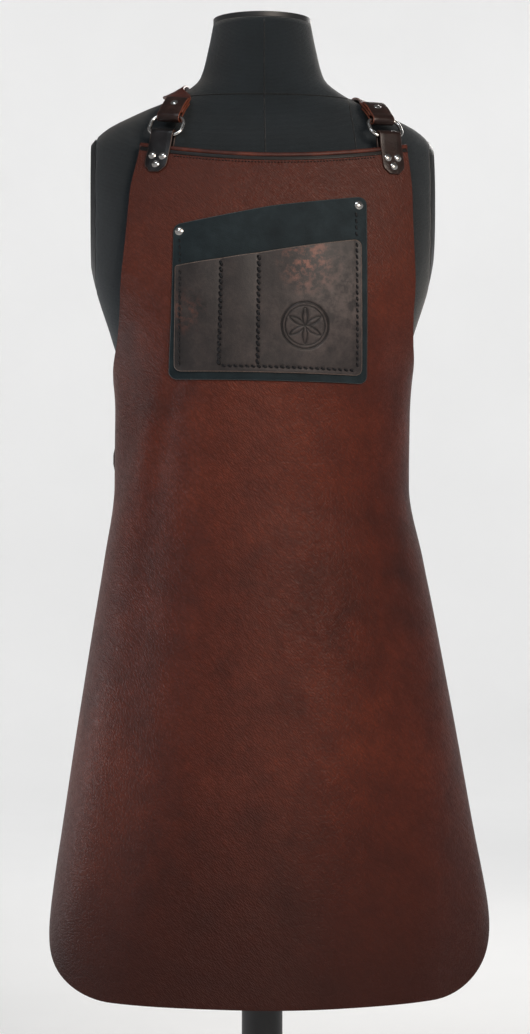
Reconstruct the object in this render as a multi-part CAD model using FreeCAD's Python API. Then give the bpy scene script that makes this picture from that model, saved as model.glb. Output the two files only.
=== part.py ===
import FreeCAD, Part
import os
from math import acos, asin, cos, degrees, exp, hypot, pi, radians, sin, sqrt

V = FreeCAD.Vector
UP = V(0, 0, 1)
ORIGIN = V(0, 0, 0)
os.makedirs("parts", exist_ok=True)

# ---------------------------------------------------------------- driving dimensions, mm
# Stand, on the floor at z = 0, its pole on the Z axis.
BASE_RADIUS = 170.0
BASE_THICK = 14.0
BASE_EDGE = 5.0
PAD_RADIUS = 164.0
PAD_THICK = 2.0
BOSS_RADIUS = 34.0
BOSS_TOP = 46.0
TUBE_RADIUS = 21.3
TUBE_WALL = 2.5
TUBE_TOP = 466.0
FIT = 0.06                      # running clearance on a radius
JOIN = 0.02                     # glued or pressed joint on a radius
COLLAR_RADIUS = 28.0
COLLAR_BOTTOM = 424.0
COLLAR_TOP = 474.0
CLAMP_Z = 449.0
SCREW_RADIUS = 4.0
CLAMP_BOSS_REACH = 40.0
KNOB_RADIUS = 22.0
KNOB_LENGTH = 18.0
KNOB_LOBES = 5
MAST_RADIUS = 17.0
MAST_WALL = 2.0
MAST_BOTTOM = 200.0
MAST_TOP = 800.0

# Dress form: z, half width, front y, back y, squareness of the section.
FORM_BOTTOM = 720.0
FORM_TOP = 1429.0
FORM_SECTIONS = [
    (720, 148, -98, 96, 2.2), (800, 151, -101, 98, 2.2), (880, 144, -98, 90, 2.2),
    (947, 139, -94, 84, 2.2), (1020, 141, -96, 86, 2.2), (1058, 145, -100, 90, 2.2),
    (1100, 157, -104, 96, 2.2), (1163, 176, -106, 101, 2.2), (1220, 184, -99, 102, 2.2),
    (1265, 186, -84, 97, 2.2), (1295, 182, -70, 88, 2.2), (1315, 166, -59, 78, 2.15),
    (1335, 129, -51, 68, 2.1), (1352, 90, -49, 61, 2.05), (1372, 65, -49, 57, 2.0),
    (1404, 56, -48, 53, 2.0), (1429, 51, -47, 50, 2.0),
]
FORM_COLUMNS = 28
ARM_PLANE = 173.0               # the armholes are flat, at this distance each side
ARM_PLATE_THICK = 5.0
ARM_PLATE_BOTTOM = 1150.0
NECK_CAP_THICK = 5.0
SOCKET_RADIUS = 21.0
SOCKET_FLANGE_RADIUS = 52.0
SOCKET_FLANGE_THICK = 4.0
SOCKET_TOP = 806.0

# Apron panel: z, half width of the curve, side y, front y, wrap angle, centre x, squareness.
LEATHER = 2.5
PANEL_LEVELS = [
    (1306, 179, 0, -89, 45.8, 9, 2.2), (1295, 180, 0, -92, 46.4, 9, 2.2),
    (1240, 188, 0, -104, 46.6, 6, 2.3), (1163, 190, 0, -113, 48.4, 3.5, 2.3),
    (1120, 174, 0, -114, 56.5, 2, 2.3), (1090, 163, 0, -113, 67.5, 1, 2.2),
    (1058, 155, 0, -111, 86, 0, 2.1), (1020, 152.5, 2, -108, 103, 0, 2.05),
    (947, 151.5, 4, -108, 112, 0, 2.0), (870, 163.5, 4, -116, 107, 2.5, 2.0),
    (800, 176, 3, -126, 102, 4, 2.0), (700, 193, 0, -140, 95, 5, 2.0),
    (600, 209, -3, -153, 90, 5, 2.0), (500, 226.5, -6, -163, 87, 5.5, 2.0),
    (426, 235, -8, -170, 85, 5.5, 2.0),
]
PANEL_ROWS = 24
PANEL_COLUMNS = 21
BIB_CORNER_Z = 1296.0
BIB_CENTRE_Z = 1280.0
HEM_Z = 434.0
HEM_CORNER = 150.0
HEM_SPARE = 0.8                  # the corner's cut leaves the leather at both of its ends
HEM_OFFCUT = 80.0
FACING_DEPTH = 14.0
FACING_THICK = 1.6
FACING_GAP = 0.6

# Chest pocket, on the panel's front.
LAYER_GAP = 0.25
POCKET_BACK_THICK = 2.0
POCKET_BACK = [(-96, 1053.5, 8), (100, 1049.5, 8), (100, 1237, 8), (5, 1226, 300), (-92, 1207, 8)]
POCKET_FRONT = [(-90.5, 1061.5, 7), (94, 1057.5, 7), (94, 1193.5, 7), (-90.5, 1166, 3)]
POCKET_DEPTH = 6.0
POCKET_SKIN = 1.8
POCKET_MARGIN = 7.0
DIVIDER_HALF = 2.2
POCKET_DIVIDERS = [((-45, 1180), (-47, 1060)), ((-8, 1190), (-9.5, 1060))]
POCKET_RIVETS = [(-86.5, 1200.5), (92.0, 1227.5)]

# Straps and their loops and rings.
STRAP_WIDTH = 24.0
STRAP_THICK = 2.6
LOOP_THICK = 2.0
LOOP_GAP = 2.2                  # half the space between a strap loop's two legs
EYE_RADIUS = 3.1                # inside of a loop where a ring's bar passes
RING_WIRE = 2.0
RING_WIDTH = 35.0
RING_HEIGHT = 22.0
RING_CORNER = 8.0
TAB_X = {"left": -107.5, "right": 127.5}
TAB_FOOT_Z = 1280.0
CHEST_BAR_Z = 1302.5
TAB_CLIP = 7.0                  # cut off both lower corners of a tab
TAB_FRONT_GAP = 0.4             # a flat tab on the curved panel, its middle touching
TAB_BACK_GAP = 1.9
TAB_FRONT_LENGTH = 42.0
TAB_BACK_LENGTH = 29.5
CHEST_TILT = {"left": 15.0, "right": 23.0}      # how far the rings lean back from the panel
CHEST_LOOP_LENGTH = 27.0
SHOULDER_RADIUS = 62.0
WAIST_Z = 968.0
WAIST_WRAP = 98.0
WAIST_RISE = 42.0               # how steeply the waist tabs point up
WAIST_FRONT_LENGTH = 42.0
WAIST_BACK_LENGTH = 36.0
WAIST_BACK_GAP = 3.6            # the panel curves away under this longer leg
WAIST_EDGE_ROOM = 11.0          # from the panel's edge to the ring's lower bar
WAIST_LEAN = 16.0               # the waist rings, then their loops, lean in by this much each
WAIST_LOOP_LENGTH = 30.0
WAIST_LOOP_RADIUS = 4000.0
STRAP_LIFT = 2.6                # the strap's middle above the form
FIRST_LIFT = 3.0                # more where it leaves the chest loop
CROSSING_LIFT = 4.5
CROSSING_SPREAD = 30.0
CROSSING = (10.5, 1190.0)       # x and z where the straps cross on the back
STRAP_GUIDES = {                # points near the form under each strap, from front to back
    "right": [(117, -28, 1355), (113, 5, 1362), (105, 40, 1350), (90, 75, 1318), (68, 98, 1278),
              (42, 112, 1235), (12, 118, 1188), (-20, 116, 1140), (-48, 108, 1098)],
    "left": [(-97, -28, 1360), (-93, 5, 1366), (-85, 40, 1352), (-70, 78, 1318), (-48, 100, 1278),
             (-20, 115, 1235), (9, 118, 1188), (36, 114, 1143), (56, 106, 1104)],
}
STATION_STEP = 10.0
KEEPER_LENGTH = 9.0
KEEPER_WALL = 1.2
KEEPER_ROOM = 1.6
KEEPER_DISTANCE = 42.0          # from the waist loop's bar, along the strap

# Rivets.
SHANK_RADIUS = 1.7
HEAD_RADIUS = 4.3
HEAD_HEIGHT = 1.5
SMALL_HEAD_RADIUS = 3.9
CAP_HEIGHT = 0.8
CAP_SHARE = 0.8                 # a rivet's cap against its head
STUD_SPARE = 0.2                # a stud's cap stands off the curved loop by this
CHEST_RIVETS = [(-25.0, 5.6), (-25.0, -5.6), (-34.0, 0.0)]     # up and across from the bar
WAIST_RIVETS = [(-23.0, 5.6), (-23.0, -5.6), (-31.5, 0.0)]
STUD_PLACE = 0.62               # share of the loop's length

# The form's socket.
SOCKET_SCREW_CIRCLE = 38.0
SOCKET_SCREW_RADIUS = 2.2
SOCKET_SCREW_LENGTH = 24.0


def save(name, shape):
    shape.exportStep("parts/" + name + ".step")


def report_axis(name, point, axis):
    """A joint's place and direction, in metres, for the record."""
    print("axis", name, *[round(v / 1000, 6) for v in point], *[round(v, 6) for v in axis])


def interpolate_table(table, z, column):
    """Monotone cubic through the table's rows at height z; the first column is the height."""
    rows = sorted(table)
    heights = [row[0] for row in rows]
    values = [row[column] for row in rows]
    count = len(rows)
    slopes = [(values[i + 1] - values[i]) / (heights[i + 1] - heights[i]) for i in range(count - 1)]
    tangents = [slopes[0]]
    for before, after in zip(slopes, slopes[1:]):
        same_way = before * after > 0
        tangents.append(2 * before * after / (before + after) if same_way else 0.0)
    tangents.append(slopes[-1])
    i = 0
    while i < count - 2 and z > heights[i + 1]:
        i += 1
    step = heights[i + 1] - heights[i]
    t = min(max((z - heights[i]) / step, 0.0), 1.0)
    a = (1 + 2 * t) * (1 - t) ** 2 * values[i]
    b = t * (1 - t) ** 2 * step * tangents[i]
    c = t * t * (3 - 2 * t) * values[i + 1]
    d = t * t * (t - 1) * step * tangents[i + 1]
    return a + b + c + d


def signed_power(value, power):
    return (1 if value >= 0 else -1) * abs(value) ** power


def rounded_face(points):
    """Flat face in the XZ plane from (x, z, corner radius) points."""
    edges = []
    count = len(points)
    starts = []
    ends = []
    for i in range(count):
        x, z, radius = points[i]
        corner = V(x, 0, z)
        before = V(points[i - 1][0], 0, points[i - 1][1]) - corner
        after = V(points[(i + 1) % count][0], 0, points[(i + 1) % count][1]) - corner
        before.normalize()
        after.normalize()
        half = acos(max(-1.0, min(1.0, before.dot(after)))) / 2
        reach = radius * cos(half) / sin(half)
        middle = before + after
        middle.normalize()
        centre = corner + middle * (radius / sin(half))
        starts.append(corner + before * reach)
        ends.append(corner + after * reach)
        edges.append(Part.Arc(starts[-1], centre - middle * radius, ends[-1]).toShape())
    for i in range(count):
        edges.append(Part.LineSegment(ends[i - 1], starts[i]).toShape())
    return Part.Face(Part.Wire(Part.__sortEdges__(edges)))


def front_prism(points):
    """Everything in front of the apron's side line inside an XZ outline."""
    face = rounded_face(points)
    face.translate(V(0, -30, 0))
    return face.extrude(V(0, -260, 0))


def solid_between(inner, outer):
    """Closed solid between two grids of points, with ruled sides."""
    faces = []
    for grid in (inner, outer):
        surface = Part.BSplineSurface()
        surface.interpolate(grid)
        faces.append(surface)
    sides = []
    low_u, high_u, low_v, high_v = faces[0].bounds()
    for cut in (("u", low_u), ("u", high_u), ("v", low_v), ("v", high_v)):
        lines = [f.uIso(cut[1]) if cut[0] == "u" else f.vIso(cut[1]) for f in faces]
        sides.append(Part.makeRuledSurface(lines[0].toShape(), lines[1].toShape()))
    shell = Part.Shell([faces[0].toShape(), faces[1].toShape()] + sides)
    shell.sewShape()
    solid = Part.Solid(shell)
    if solid.Volume < 0:
        solid.reverse()
    return solid


# ---------------------------------------------------------------- the panel's surface

def panel_point(z, share):
    """Point of the panel's inner face at height z; share runs -1..1 from edge to edge."""
    half, side, front, wrap, centre, square = [interpolate_table(PANEL_LEVELS, z, i) for i in range(1, 7)]
    angle = radians(wrap) * share
    power = 2.0 / square
    x = centre + half * signed_power(sin(angle), power)
    y = side - (side - front) * signed_power(cos(angle), power)
    return V(x, y, z)


def panel_normal(z, share):
    step = 0.002
    across = panel_point(z, share + step) - panel_point(z, share - step)
    upward = panel_point(z + 1, share) - panel_point(z - 1, share)
    normal = across.cross(upward)
    normal.normalize()
    return normal


def panel_share(z, x):
    """The share whose point at height z has this x, on the front half of the panel."""
    wrap = interpolate_table(PANEL_LEVELS, z, 4)
    half = interpolate_table(PANEL_LEVELS, z, 1)
    centre = interpolate_table(PANEL_LEVELS, z, 5)
    power = interpolate_table(PANEL_LEVELS, z, 6) / 2.0
    return degrees(asin(signed_power((x - centre) / half, power))) / wrap


def panel_band(low_z, high_z, low_share, high_share, low_offset, high_offset, rows, columns):
    grids = []
    for offset in (low_offset, high_offset):
        grid = []
        for i in range(rows):
            z = low_z + (high_z - low_z) * i / (rows - 1)
            line = []
            for j in range(columns):
                share = low_share + (high_share - low_share) * j / (columns - 1)
                line.append(panel_point(z, share) + panel_normal(z, share) * offset)
            grid.append(line)
        grids.append(grid)
    return solid_between(grids[0], grids[1])


def pocket_band(low_offset, high_offset):
    return panel_band(1040, 1250, -0.78, 0.78, low_offset, high_offset, 15, 21)


def on_panel(x, z, offset):
    share = panel_share(z, x)
    return panel_point(z, share) + panel_normal(z, share) * offset


def hem_corner_cutter(side):
    """What is cut off outside a quarter circle that is drawn on the leather at one lower corner."""
    steps = 120
    length = sum((panel_point(HEM_Z, (i + 1) / steps) - panel_point(HEM_Z, i / steps)).Length for i in range(steps))
    grids = []
    for offset in (-4 * LEATHER, 5 * LEATHER):
        grid = []
        for radius in [HEM_CORNER + HEM_SPARE + HEM_OFFCUT * i / 4 for i in range(5)]:
            line = []
            for k in range(16):
                angle = radians(90 * k / 15)
                share = side * (1 - (HEM_CORNER - radius * cos(angle)) / length)
                z = HEM_Z + HEM_CORNER - radius * sin(angle)
                line.append(panel_point(z, share) + panel_normal(z, share) * offset)
            grid.append(line)
        grids.append(grid)
    return solid_between(grids[0], grids[1])


# ---------------------------------------------------------------- fasteners and loops

def rivet_head(point, normal, radius, height):
    ball = (radius * radius + height * height) / (2 * height)
    start = degrees(asin((ball - height) / ball))
    return Part.makeSphere(ball, point - normal * (ball - height), normal, start, 90, 360)


def rivet(point, normal, length, radius=HEAD_RADIUS):
    """Domed head on the point, shank going in, thin cap at the far end."""
    shank = Part.makeCylinder(SHANK_RADIUS, length, point, normal * -1)
    cap = Part.makeCylinder(radius * CAP_SHARE, CAP_HEIGHT, point - normal * length, normal * -1)
    return shank.fuse([rivet_head(point, normal, radius, HEAD_HEIGHT), cap]).removeSplitter()


def rivet_hole(point, normal):
    return Part.makeCylinder(SHANK_RADIUS + JOIN, 30, point + normal * 10, normal * -1)


class Frame:
    """Local frame of a loop: up along the strap, out from the body, and across."""

    def __init__(self, origin, up, out):
        self.origin = origin
        self.out = V(out)
        self.out.normalize()
        self.up = up - self.out * up.dot(self.out)
        self.up.normalize()
        self.across = self.up.cross(self.out)

    def at(self, up, out, across=0.0):
        return self.origin + self.up * up + self.out * out + self.across * across

    def leaned(self, angle):
        """The same origin, tipped back about the across axis."""
        up = self.up * cos(radians(angle)) - self.out * sin(radians(angle))
        out = self.out * cos(radians(angle)) + self.up * sin(radians(angle))
        return Frame(self.origin, up, out)


def band_prism(frame, path, thickness, width, clip=0.0):
    """A strip of leather whose middle line is a path of (up, out) points."""
    count = len(path)
    left = []
    right = []
    for i in range(count):
        before = path[max(i - 1, 0)]
        after = path[min(i + 1, count - 1)]
        du = after[0] - before[0]
        dn = after[1] - before[1]
        length = hypot(du, dn)
        side = (-dn / length * thickness / 2, du / length * thickness / 2)
        left.append((path[i][0] + side[0], path[i][1] + side[1]))
        right.append((path[i][0] - side[0], path[i][1] - side[1]))
    ring = left + right[::-1]
    corners = [frame.at(u, n, -width / 2) for u, n in ring]
    strip = Part.Face(Part.makePolygon(corners + [corners[0]])).extrude(frame.across * width)
    if clip:
        strip = strip.cut([corner_wedge(frame, path[0], width / 2 * side, clip * side) for side in (-1, 1)])
    return strip


def corner_wedge(frame, tip, edge, clip):
    """What is cut off one corner of a strip's lower end."""
    spare = 3.0
    beyond = edge + (spare if edge > 0 else -spare)
    wedge = [(tip[0] - spare, edge - clip), (tip[0], edge - clip), (tip[0] + abs(clip), edge),
             (tip[0] + abs(clip), beyond), (tip[0] - spare, beyond)]
    points = [frame.at(u, tip[1] - spare, w) for u, w in wedge]
    face = Part.Face(Part.makePolygon(points + [points[0]]))
    return face.extrude(frame.out * (2 * spare))


def eye_points(direction, count=9):
    """Half circle round a bar at the frame's origin, from the front leg to the back leg."""
    radius = EYE_RADIUS + LOOP_THICK / 2
    angles = [pi / 2 - pi * i / (count - 1) for i in range(count)]
    return [(direction * radius * cos(a), radius * sin(a)) for a in angles]


def ring_shape(frame):
    """A round-wire loop with rounded corners, centred on the frame's origin."""
    half_w = RING_WIDTH / 2
    half_h = RING_HEIGHT / 2
    inner_w = half_w - RING_CORNER
    inner_h = half_h - RING_CORNER
    edges = []
    slant = RING_CORNER * (1 - sqrt(0.5))
    for sw, sh in ((1, 1), (-1, 1), (-1, -1), (1, -1)):
        side_point = frame.at(sh * inner_h, 0, sw * half_w)
        bend_point = frame.at(sh * (half_h - slant), 0, sw * (half_w - slant))
        bar_point = frame.at(sh * half_h, 0, sw * inner_w)
        edges.append(Part.Arc(side_point, bend_point, bar_point).toShape())
    for sh in (1, -1):
        edges.append(Part.makeLine(frame.at(sh * half_h, 0, inner_w), frame.at(sh * half_h, 0, -inner_w)))
    for sw in (1, -1):
        edges.append(Part.makeLine(frame.at(inner_h, 0, sw * half_w), frame.at(-inner_h, 0, sw * half_w)))
    path = Part.Wire(Part.__sortEdges__(edges))
    start = path.OrderedVertexes[0].Point
    first = path.OrderedEdges[0]
    tangent = first.tangentAt(first.FirstParameter)
    section = Part.Wire(Part.makeCircle(RING_WIRE, start, tangent))
    return path.makePipeShell([section], True, True)


# ---------------------------------------------------------------- the dress form

def form_section(z):
    half, front, back, square = [interpolate_table(FORM_SECTIONS, z, i) for i in range(1, 5)]
    power = 2.0 / square
    points = []
    for i in range(FORM_COLUMNS):
        angle = 2 * pi * i / FORM_COLUMNS
        depth = back if sin(angle) >= 0 else -front
        points.append(V(half * signed_power(cos(angle), power), depth * signed_power(sin(angle), power), z))
    curve = Part.BSplineCurve()
    curve.interpolate(points, PeriodicFlag=True)
    return Part.Wire(curve.toShape())


def make_form():
    heights = [720, 760, 800, 840, 880, 915, 947, 985, 1020, 1058, 1080, 1100, 1130, 1163, 1192, 1220,
               1243, 1265, 1281, 1295, 1306, 1315, 1325, 1335, 1344, 1352, 1361, 1372, 1388, 1404, 1416, FORM_TOP]
    whole = Part.makeLoft([form_section(z) for z in heights], True, False)
    plates = {}
    body = whole
    for name, side in (("left", -1), ("right", 1)):
        low_x = ARM_PLANE if side > 0 else -ARM_PLANE - 60
        slab = Part.makeBox(60, 400, 400, V(low_x, -200, ARM_PLATE_BOTTOM))
        body = body.cut(slab)
        thin_x = ARM_PLANE + LAYER_GAP if side > 0 else -ARM_PLANE - LAYER_GAP - ARM_PLATE_THICK
        plate = Part.makeBox(ARM_PLATE_THICK, 400, 400, V(thin_x, -200, ARM_PLATE_BOTTOM))
        plates[name] = whole.common(plate)
    bore = Part.makeCylinder(SOCKET_RADIUS + JOIN, SOCKET_TOP - FORM_BOTTOM + 1, V(0, 0, FORM_BOTTOM - 1), UP)
    return body.cut(bore), plates


def make_neck_cap():
    cap = Part.Face(form_section(FORM_TOP))
    cap.translate(V(0, 0, LAYER_GAP))
    return cap.extrude(V(0, 0, NECK_CAP_THICK))


def make_ribbon(stations, thickness):
    """Strap lofted through its stations, each a row of points across with the way out."""
    wires = []
    for points, normals in stations:
        inner = [p - n * (thickness / 2) for p, n in zip(points, normals)]
        outer = [p + n * (thickness / 2) for p, n in zip(points, normals)]
        corners = inner + outer[::-1]
        wires.append(Part.makePolygon(corners + [corners[0]]))
    return Part.makeLoft(wires, True, True)


def form_level(point):
    """Zero on the form's skin, negative inside."""
    half, front, back, square = [interpolate_table(FORM_SECTIONS, point.z, i) for i in range(1, 5)]
    depth = back if point.y >= 0 else -front
    return (abs(point.x / half) ** square + abs(point.y / depth) ** square) ** (1 / square) - 1


def form_gradient(point):
    step = 0.5
    slopes = []
    for way in (V(step, 0, 0), V(0, step, 0), V(0, 0, step)):
        slopes.append((form_level(point + way) - form_level(point - way)) / (2 * step))
    return V(*slopes)


def nearest(point):
    """Point of the form's skin under this one, the way out from it, and the height above it."""
    foot = V(point)
    for _ in range(8):
        gradient = form_gradient(foot)
        foot = foot - gradient * (form_level(foot) / gradient.Length ** 2)
    way = form_gradient(foot)
    way.normalize()
    return foot, way, (point - foot).dot(way)


def strap_key_points(start_frame, end_frame, guides):
    """Loop slots at both ends, and guide points laid on the form between them."""
    keys = []
    for reach in (7, 14, 21, 28):
        turn = reach / SHOULDER_RADIUS
        keys.append(start_frame.at(SHOULDER_RADIUS * sin(turn), SHOULDER_RADIUS * (cos(turn) - 1)))
    for i, guide in enumerate(guides):
        foot, way, _ = nearest(V(*guide))
        keys.append(foot + way * (STRAP_LIFT + FIRST_LIFT / (1 + i)))
    for reach in (70, 50, 34, 27, 20, 13, 7):
        keys.append(end_frame.at(reach, 0))
    return keys


def ease(value):
    share = min(max(value, 0.0), 1.0)
    return share * share * (3 - 2 * share)


def strap_stations(keys, start_frame, end_frame, over):
    """Rows of three points across the strap, with the way out at each; over is true for the upper strap."""
    curve = Part.BSplineCurve()
    curve.interpolate(keys)
    edge = curve.toShape()
    count = int(edge.Length / STATION_STEP)
    samples = edge.discretize(count)
    step = edge.Length / (count - 1)
    stations = []
    for i, point in enumerate(samples):
        tangent = samples[min(i + 1, count - 1)] - samples[max(i - 1, 0)]
        tangent.normalize()
        foot, way, distance = nearest(point)
        at_start = 1 - ease((i * step - 26) / 40)
        at_end = 1 - ease(((count - 1 - i) * step - 34) / 60)
        turn = min(7 + i * step, 40.0) / SHOULDER_RADIUS
        slot_way = start_frame.out * cos(turn) + start_frame.up * sin(turn)
        way = way * (1 - at_start) * (1 - at_end) + slot_way * at_start + end_frame.out * at_end
        across = tangent.cross(way)
        across.normalize()
        out = across.cross(tangent)
        lift = max(STRAP_LIFT, distance)
        centre = point + out * (lift - distance) * (1 - at_start) * (1 - at_end)
        if over:
            from_middle = hypot(point.x - CROSSING[0], point.z - CROSSING[1])
            lift += CROSSING_LIFT * exp(-(from_middle / CROSSING_SPREAD) ** 2)
            centre = centre + out * (lift - max(STRAP_LIFT, distance))
        hug = (1 - ease((distance - 4) / 8)) * (1 - at_start) * (1 - at_end)
        points = []
        normals = []
        for side in (-1, 0, 1):
            flat = centre + across * (side * STRAP_WIDTH / 2)
            side_foot, side_way, _ = nearest(flat)
            points.append(flat * (1 - hug) + (side_foot + side_way * lift) * hug)
            normal = out * (1 - hug) + side_way * hug
            normal.normalize()
            normals.append(normal)
        stations.append((points, normals))
    return stations


# ---------------------------------------------------------------- build: stand

def make_stand():
    plate = Part.makeCylinder(BASE_RADIUS, BASE_THICK, V(0, 0, PAD_THICK), UP)
    rim = [e for e in plate.Edges if e.Length > 100 and abs(e.CenterOfMass.z - PAD_THICK - BASE_THICK) < 1]
    plate = plate.makeFillet(BASE_EDGE, rim)
    boss = Part.makeCone(BOSS_RADIUS, TUBE_RADIUS + 5, BOSS_TOP - BASE_THICK, V(0, 0, BASE_THICK), UP)
    plate = plate.fuse(boss).removeSplitter()
    seat = PAD_THICK + 4
    plate = plate.cut(Part.makeCylinder(TUBE_RADIUS + JOIN, 100, V(0, 0, seat), UP))
    save("base_plate", plate)
    save("base_pad", Part.makeCylinder(PAD_RADIUS, PAD_THICK, ORIGIN, UP))

    tube = Part.makeCylinder(TUBE_RADIUS, TUBE_TOP - seat, V(0, 0, seat), UP)
    tube = tube.cut(Part.makeCylinder(TUBE_RADIUS - TUBE_WALL, 600, V(0, 0, seat - 1), UP))
    screw_hole = Part.makeCylinder(SCREW_RADIUS + FIT, 60, V(0, 0, CLAMP_Z), V(0, 1, 0))
    save("lower_tube", tube.cut(screw_hole))

    guide_inner = MAST_RADIUS + FIT
    collar = Part.makeCylinder(COLLAR_RADIUS, COLLAR_TOP - COLLAR_BOTTOM, V(0, 0, COLLAR_BOTTOM), UP)
    ends = [e for e in collar.Edges if e.Length > 100]
    collar = collar.makeFillet(2.0, ends)
    boss = Part.makeCylinder(11.0, CLAMP_BOSS_REACH, V(0, 0, CLAMP_Z), V(0, 1, 0))
    collar = collar.fuse(boss).removeSplitter()
    below = V(0, 0, COLLAR_BOTTOM - 1)
    sleeve_bore = Part.makeCylinder(TUBE_RADIUS + JOIN, TUBE_TOP + JOIN - below.z, below, UP)
    mast_bore = Part.makeCylinder(guide_inner, 120, below, UP)
    collar = collar.cut([sleeve_bore, mast_bore, screw_hole])
    save("height_collar", collar)

    bush = Part.makeCylinder(TUBE_RADIUS - TUBE_WALL - JOIN, 40, V(0, 0, CLAMP_Z - 62), UP)
    bush = bush.cut(Part.makeCylinder(guide_inner, 60, V(0, 0, CLAMP_Z - 70), UP))
    save("guide_bush", bush)

    tip = MAST_RADIUS + 0.4
    screw = Part.makeCylinder(SCREW_RADIUS, CLAMP_BOSS_REACH + 12 - tip, V(0, tip, CLAMP_Z), V(0, 1, 0))
    save("clamp_screw", screw)
    start = CLAMP_BOSS_REACH + 2
    knob = Part.makeCylinder(KNOB_RADIUS, KNOB_LENGTH, V(0, start, CLAMP_Z), V(0, 1, 0))
    scoops = []
    for i in range(KNOB_LOBES):
        angle = 2 * pi * i / KNOB_LOBES
        scoop_x = (KNOB_RADIUS + 6) * cos(angle)
        scoop_z = CLAMP_Z + (KNOB_RADIUS + 6) * sin(angle)
        scoops.append(Part.makeCylinder(10, KNOB_LENGTH + 2, V(scoop_x, start - 1, scoop_z), V(0, 1, 0)))
    knob = knob.cut(scoops)
    knob = knob.cut(Part.makeCylinder(SCREW_RADIUS + JOIN, 10 + JOIN, V(0, start, CLAMP_Z), V(0, 1, 0)))
    save("clamp_knob", knob)


def make_mast():
    mast = Part.makeCylinder(MAST_RADIUS, MAST_TOP - MAST_BOTTOM, V(0, 0, MAST_BOTTOM), UP)
    mast = mast.cut(Part.makeCylinder(MAST_RADIUS - MAST_WALL, 700, V(0, 0, MAST_BOTTOM - 1), UP))
    save("mast", mast)
    plug_length = 20.0
    plug = Part.makeCylinder(MAST_RADIUS - MAST_WALL - JOIN, plug_length, V(0, 0, MAST_TOP - plug_length), UP)
    head = Part.makeCylinder(MAST_RADIUS - 1, 1.6, V(0, 0, MAST_TOP + JOIN), UP)
    neck = Part.makeCylinder(8, plug_length + 1, V(0, 0, MAST_TOP - plug_length), UP)
    save("mast_plug", plug.fuse([head, neck]).removeSplitter())


def make_socket():
    """The form's flanged socket and its four screws. Returns the screws' holes in the form."""
    bottom = FORM_BOTTOM - LAYER_GAP - SOCKET_FLANGE_THICK
    flange = Part.makeCylinder(SOCKET_FLANGE_RADIUS, SOCKET_FLANGE_THICK, V(0, 0, bottom), UP)
    sleeve = Part.makeCylinder(SOCKET_RADIUS, SOCKET_TOP - bottom, V(0, 0, bottom), UP)
    bore = Part.makeCylinder(MAST_RADIUS + FIT, MAST_TOP + 2.0 - bottom + 1, V(0, 0, bottom - 1), UP)
    head_thick = 1.8
    screws = []
    holes = []
    for i in range(4):
        angle = pi / 4 + i * pi / 2
        spot = V(SOCKET_SCREW_CIRCLE * cos(angle), SOCKET_SCREW_CIRCLE * sin(angle), bottom)
        flange = flange.cut(Part.makeCylinder(SOCKET_SCREW_RADIUS + 0.1, 10, spot - UP * 3, UP))
        head = Part.makeCylinder(4.2, head_thick, spot - UP * (head_thick + JOIN), UP)
        shank = Part.makeCylinder(SOCKET_SCREW_RADIUS, SOCKET_SCREW_LENGTH, spot - UP, UP)
        screws.append(head.fuse(shank).removeSplitter())
        holes.append(Part.makeCylinder(SOCKET_SCREW_RADIUS + JOIN, SOCKET_SCREW_LENGTH + 2, spot, UP))
    save("torso_socket", flange.fuse(sleeve).removeSplitter().cut(bore))
    save("socket_screws", Part.makeCompound(screws))
    return holes


# ---------------------------------------------------------------- build: apron

def make_panel():
    band = panel_band(HEM_Z, 1306, -1, 1, 0, LEATHER, PANEL_ROWS, PANEL_COLUMNS)
    arc = Part.Arc(V(-160, -200, BIB_CORNER_Z + 6), V(9, -200, BIB_CENTRE_Z), V(178, -200, BIB_CORNER_Z + 6))
    high_left = V(-160, -200, 1400)
    high_right = V(178, -200, 1400)
    edges = [arc.toShape(), Part.makeLine(arc.EndPoint, high_right), Part.makeLine(high_right, high_left),
             Part.makeLine(high_left, arc.StartPoint)]
    above = Part.Face(Part.Wire(edges)).extrude(V(0, 300, 0))
    panel = band.cut(above)
    for side in (-1, 1):
        panel = panel.cut(hem_corner_cutter(side))
    return panel, above


def make_facing(above):
    band = panel_band(1255, 1304, -0.67, 0.67, -FACING_GAP - FACING_THICK, -FACING_GAP, 7, 21)
    below = above.copy()
    below.translate(V(0, 0, -FACING_DEPTH))
    return band.common(below).cut(above)


def make_pocket():
    back_low = LEATHER + LAYER_GAP
    back_high = back_low + POCKET_BACK_THICK
    backing = pocket_band(back_low, back_high).common(front_prism(POCKET_BACK))
    front_low = back_high + LAYER_GAP
    front = pocket_band(front_low, front_low + POCKET_DEPTH + POCKET_SKIN).common(front_prism(POCKET_FRONT))
    hollow = pocket_band(front_low - 1, front_low + POCKET_DEPTH)
    left_x = POCKET_FRONT[0][0] + POCKET_MARGIN
    right_x = POCKET_FRONT[1][0] - POCKET_MARGIN
    low_z = POCKET_FRONT[0][1] + POCKET_MARGIN
    high_z = POCKET_FRONT[2][1] + 30
    bounds = [(left_x, left_x)]
    for top, bottom in POCKET_DIVIDERS:
        slope = (top[0] - bottom[0]) / (top[1] - bottom[1])
        bounds.append((bottom[0] + slope * (high_z - bottom[1]), bottom[0] + slope * (low_z - bottom[1])))
    bounds.append((right_x, right_x))
    for i in range(3):
        start = DIVIDER_HALF if i > 0 else 0
        stop = DIVIDER_HALF if i < 2 else 0
        room = [(bounds[i][1] + start, low_z, 2), (bounds[i + 1][1] - stop, low_z, 2),
                (bounds[i + 1][0] - stop, high_z, 2), (bounds[i][0] + start, high_z, 2)]
        front = front.cut(hollow.common(front_prism(room)))
    return backing, front, back_high


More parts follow.
